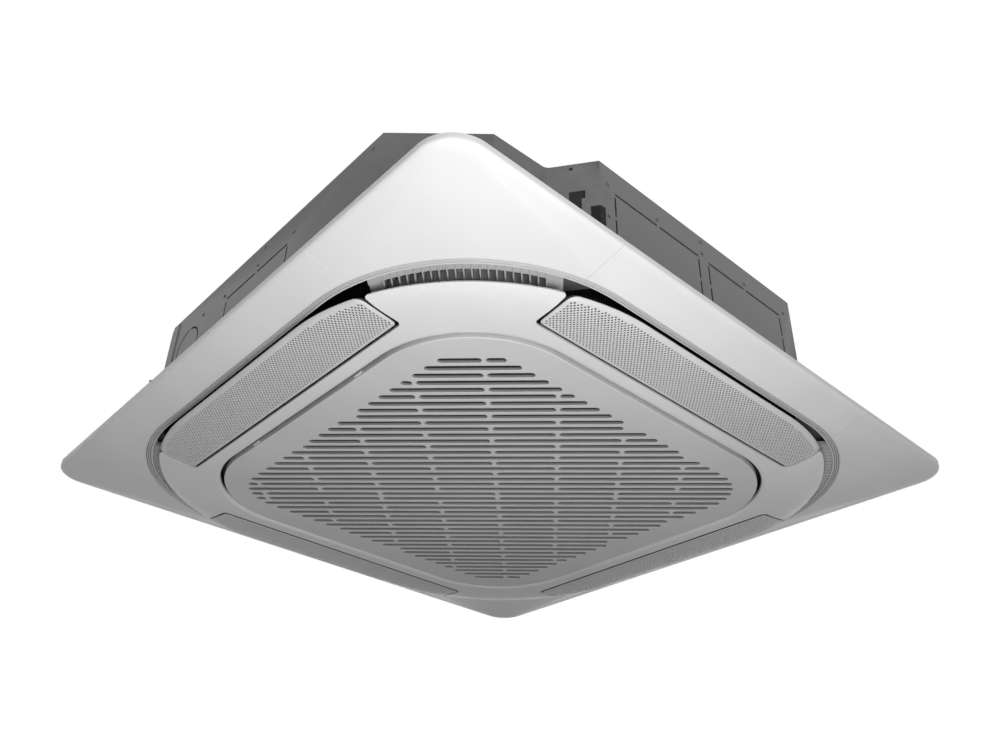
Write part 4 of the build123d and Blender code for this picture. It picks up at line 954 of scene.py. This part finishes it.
bm = bmesh.new()
corners = ((0, PLATE_Z), (0, RIM_TOP), (RIM_WALL, RIM_TOP), (RIM_WALL, PLATE_Z))
loops = stack(bm, [(GRILLE_HALF - inset, GRILLE_RADIUS - inset, z) for inset, z in corners])
bmesh.ops.bridge_loops(bm, edges=loops[0] + loops[-1])
for reach, room in ((HINGE_X, HINGE_ROOM), (LATCH_X, LATCH_HALF)):
    for place in (-reach, reach):
        for end in (-room, room):
            cut(bm, (place + end, 0, 0), (1, 0, 0))
for height in (LATCH_LOW, LATCH_HIGH):
    cut(bm, (0, 0, height), (0, 0, 1))
bmesh.ops.delete(bm, geom=[face for face in bm.faces if in_gap(face)], context="FACES")
for place in (-LATCH_X, LATCH_X):
    reveal = []
    for edge in open_edges(bm):
        middle = (edge.verts[0].co + edge.verts[1].co) / 2
        if middle.y < 0 and abs(middle.x - place) < LATCH_HALF + 1:
            reveal.append(edge)
    bmesh.ops.bridge_loops(bm, edges=reveal)
bmesh.ops.holes_fill(bm, edges=open_edges(bm), sides=0)
print("rim faces:", len(bm.faces))

# %% [markdown]
# On the plate sit the hinge ears with their pins, the latch guides and eight pads that carry the filter.
# They are blocks and rods that go a little into the plate, as ribs of one moulding do.

# %% Hinge ears, latch guides and pads
ROOT_Z, EAR_HALF, EAR_SPAN = -38.0, 4.5, (4.5, 11.0)
GUIDE_WALL, GUIDE_Y, GUIDE_TOP = 2, (-315.5, -299.5), -33.0
PAD_PLACE, PAD_HALF, PAD_Y, PAD_TOP = 90, 10, (-288.5, -282.5), -34.0
for place in (-HINGE_X, HINGE_X):
    for end in (-1, 1):
        across = sorted(place + end * reach for reach in EAR_SPAN)
        bar(bm, across, (HINGE_Y - EAR_HALF, HINGE_Y + EAR_HALF), (ROOT_Z, HINGE_Z))
        rod(bm, (sum(across) / 2, HINGE_Y, HINGE_Z), EAR_HALF, across[1] - across[0])
    rod(bm, (place, HINGE_Y, HINGE_Z), 3.0, 16.0)
for place in (-LATCH_X, LATCH_X):
    for end in (-1, 1):
        across = sorted(place + end * reach for reach in (LATCH_HALF, LATCH_HALF + GUIDE_WALL))
        bar(bm, across, GUIDE_Y, (ROOT_Z, GUIDE_TOP))
for turn in QUARTERS:
    for along in (-PAD_PLACE, PAD_PLACE):
        made = bar(bm, (along - PAD_HALF, along + PAD_HALF), PAD_Y, (ROOT_Z, PAD_TOP))
        bmesh.ops.rotate(bm, verts=made, matrix=about_z(turn))
bmesh.ops.recalc_face_normals(bm, faces=bm.faces)
publish("grille_rim", bm, [grille_plastic], "intake_grille", "grille", soft=0.3)

# %% [markdown]
# ## The other nodes
#
# Their CAD shapes are right, so they stay, each with its finish. A CAD mesh is loose triangles: Weld
# joins them, Bevel rounds the edges by the width given here in millimetres, and Weighted Normal keeps
# flat sheet flat. Pieces with a width of 0 are round or finely divided, and only have their creases
# split.

# %% Finish and edge width of each node
kept_nodes = {
    "outlet_rim": (rim_plastic_painted_shade, 0.15), "centre_tub": (duct_plastic, 0.0), "ceiling_seal": (foam, 0.8),
    "casing_shell": (steel, 0.3), "top_plate": (steel, 0.5), "casing_rivets": (steel, 0.3),
    "panel_screws": (screw_steel, 0.2), "cable_grommet": (rubber, 0.6), "foam_liner": (foam, 1.0),
    "drain_pan": (polystyrene, 1.5), "coil_fins": (fin_metal, 0.0), "coil_u_bends": (copper, 0.0),
    "gas_line": (copper, 0.0), "liquid_line": (copper, 0.0), "flare_unions": (brass, 0.3),
    "drain_pump": (pump_plastic, 0.5), "pump_impeller": (pump_plastic, 0.0),
    "drain_pipe": (pump_plastic, 0.4),
    "float_switch": (pump_plastic, 0.3), "float_ring": (foam, 0.4), "bell_mouth": (tray_plastic, 0.0),
    "turbo_fan": (fan_plastic, 0.3), "motor_shaft": (shaft_steel, 0.4), "fan_nut": (shaft_steel, 0.4),
    "fan_motor": (motor_metal, 0.5), "motor_bracket": (steel, 0.3), "motor_bushes": (rubber, 0.5),
    "motor_bolts": (screw_steel, 0.3), "control_box": (steel, 0.2), "control_cover": (steel, 0.2),
    "control_board": (board_look, 0.2), "terminal_block": (terminal_plastic, 0.3),
    "blade_bearings": (duct_plastic, 0.4), "blade_motors": (tray_plastic, 0.4),
    "grille_hinges": (grille_plastic, 0.3), "grille_latch_left": (latch_plastic, 0.4),
    "grille_latch_right": (latch_plastic, 0.4), "filter_frame": (fan_plastic, 0.3),
    "filter_net": (net_look, 0.0),
}
for corner in turns:
    kept_nodes["fin_comb_" + corner] = (comb_plastic, 0.3)
    kept_nodes["hanger_bracket_" + corner] = (steel, 0.3)
print("nodes that stay:", len(kept_nodes))

# %% Dress the nodes that stay
for name, (look, width) in kept_nodes.items():
    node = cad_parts[name]
    node.data.materials.clear()
    node.data.materials.append(look)
    node.data.polygons.foreach_set("use_smooth", [True] * len(node.data.polygons))
    weld = node.modifiers.new("weld", "WELD")
    weld.merge_threshold = 0.00002
    if width:
        soften(node, width)
        keep_flat(node)
    else:
        split = node.modifiers.new("sharp", "EDGE_SPLIT")
        split.split_angle = math.radians(35)
print("nodes with a material:", len(kept_nodes))

# %% [markdown]
# ## Last step
#
# The view layer is brought up to date.

# %% Update the view layer
bpy.context.view_layer.update()
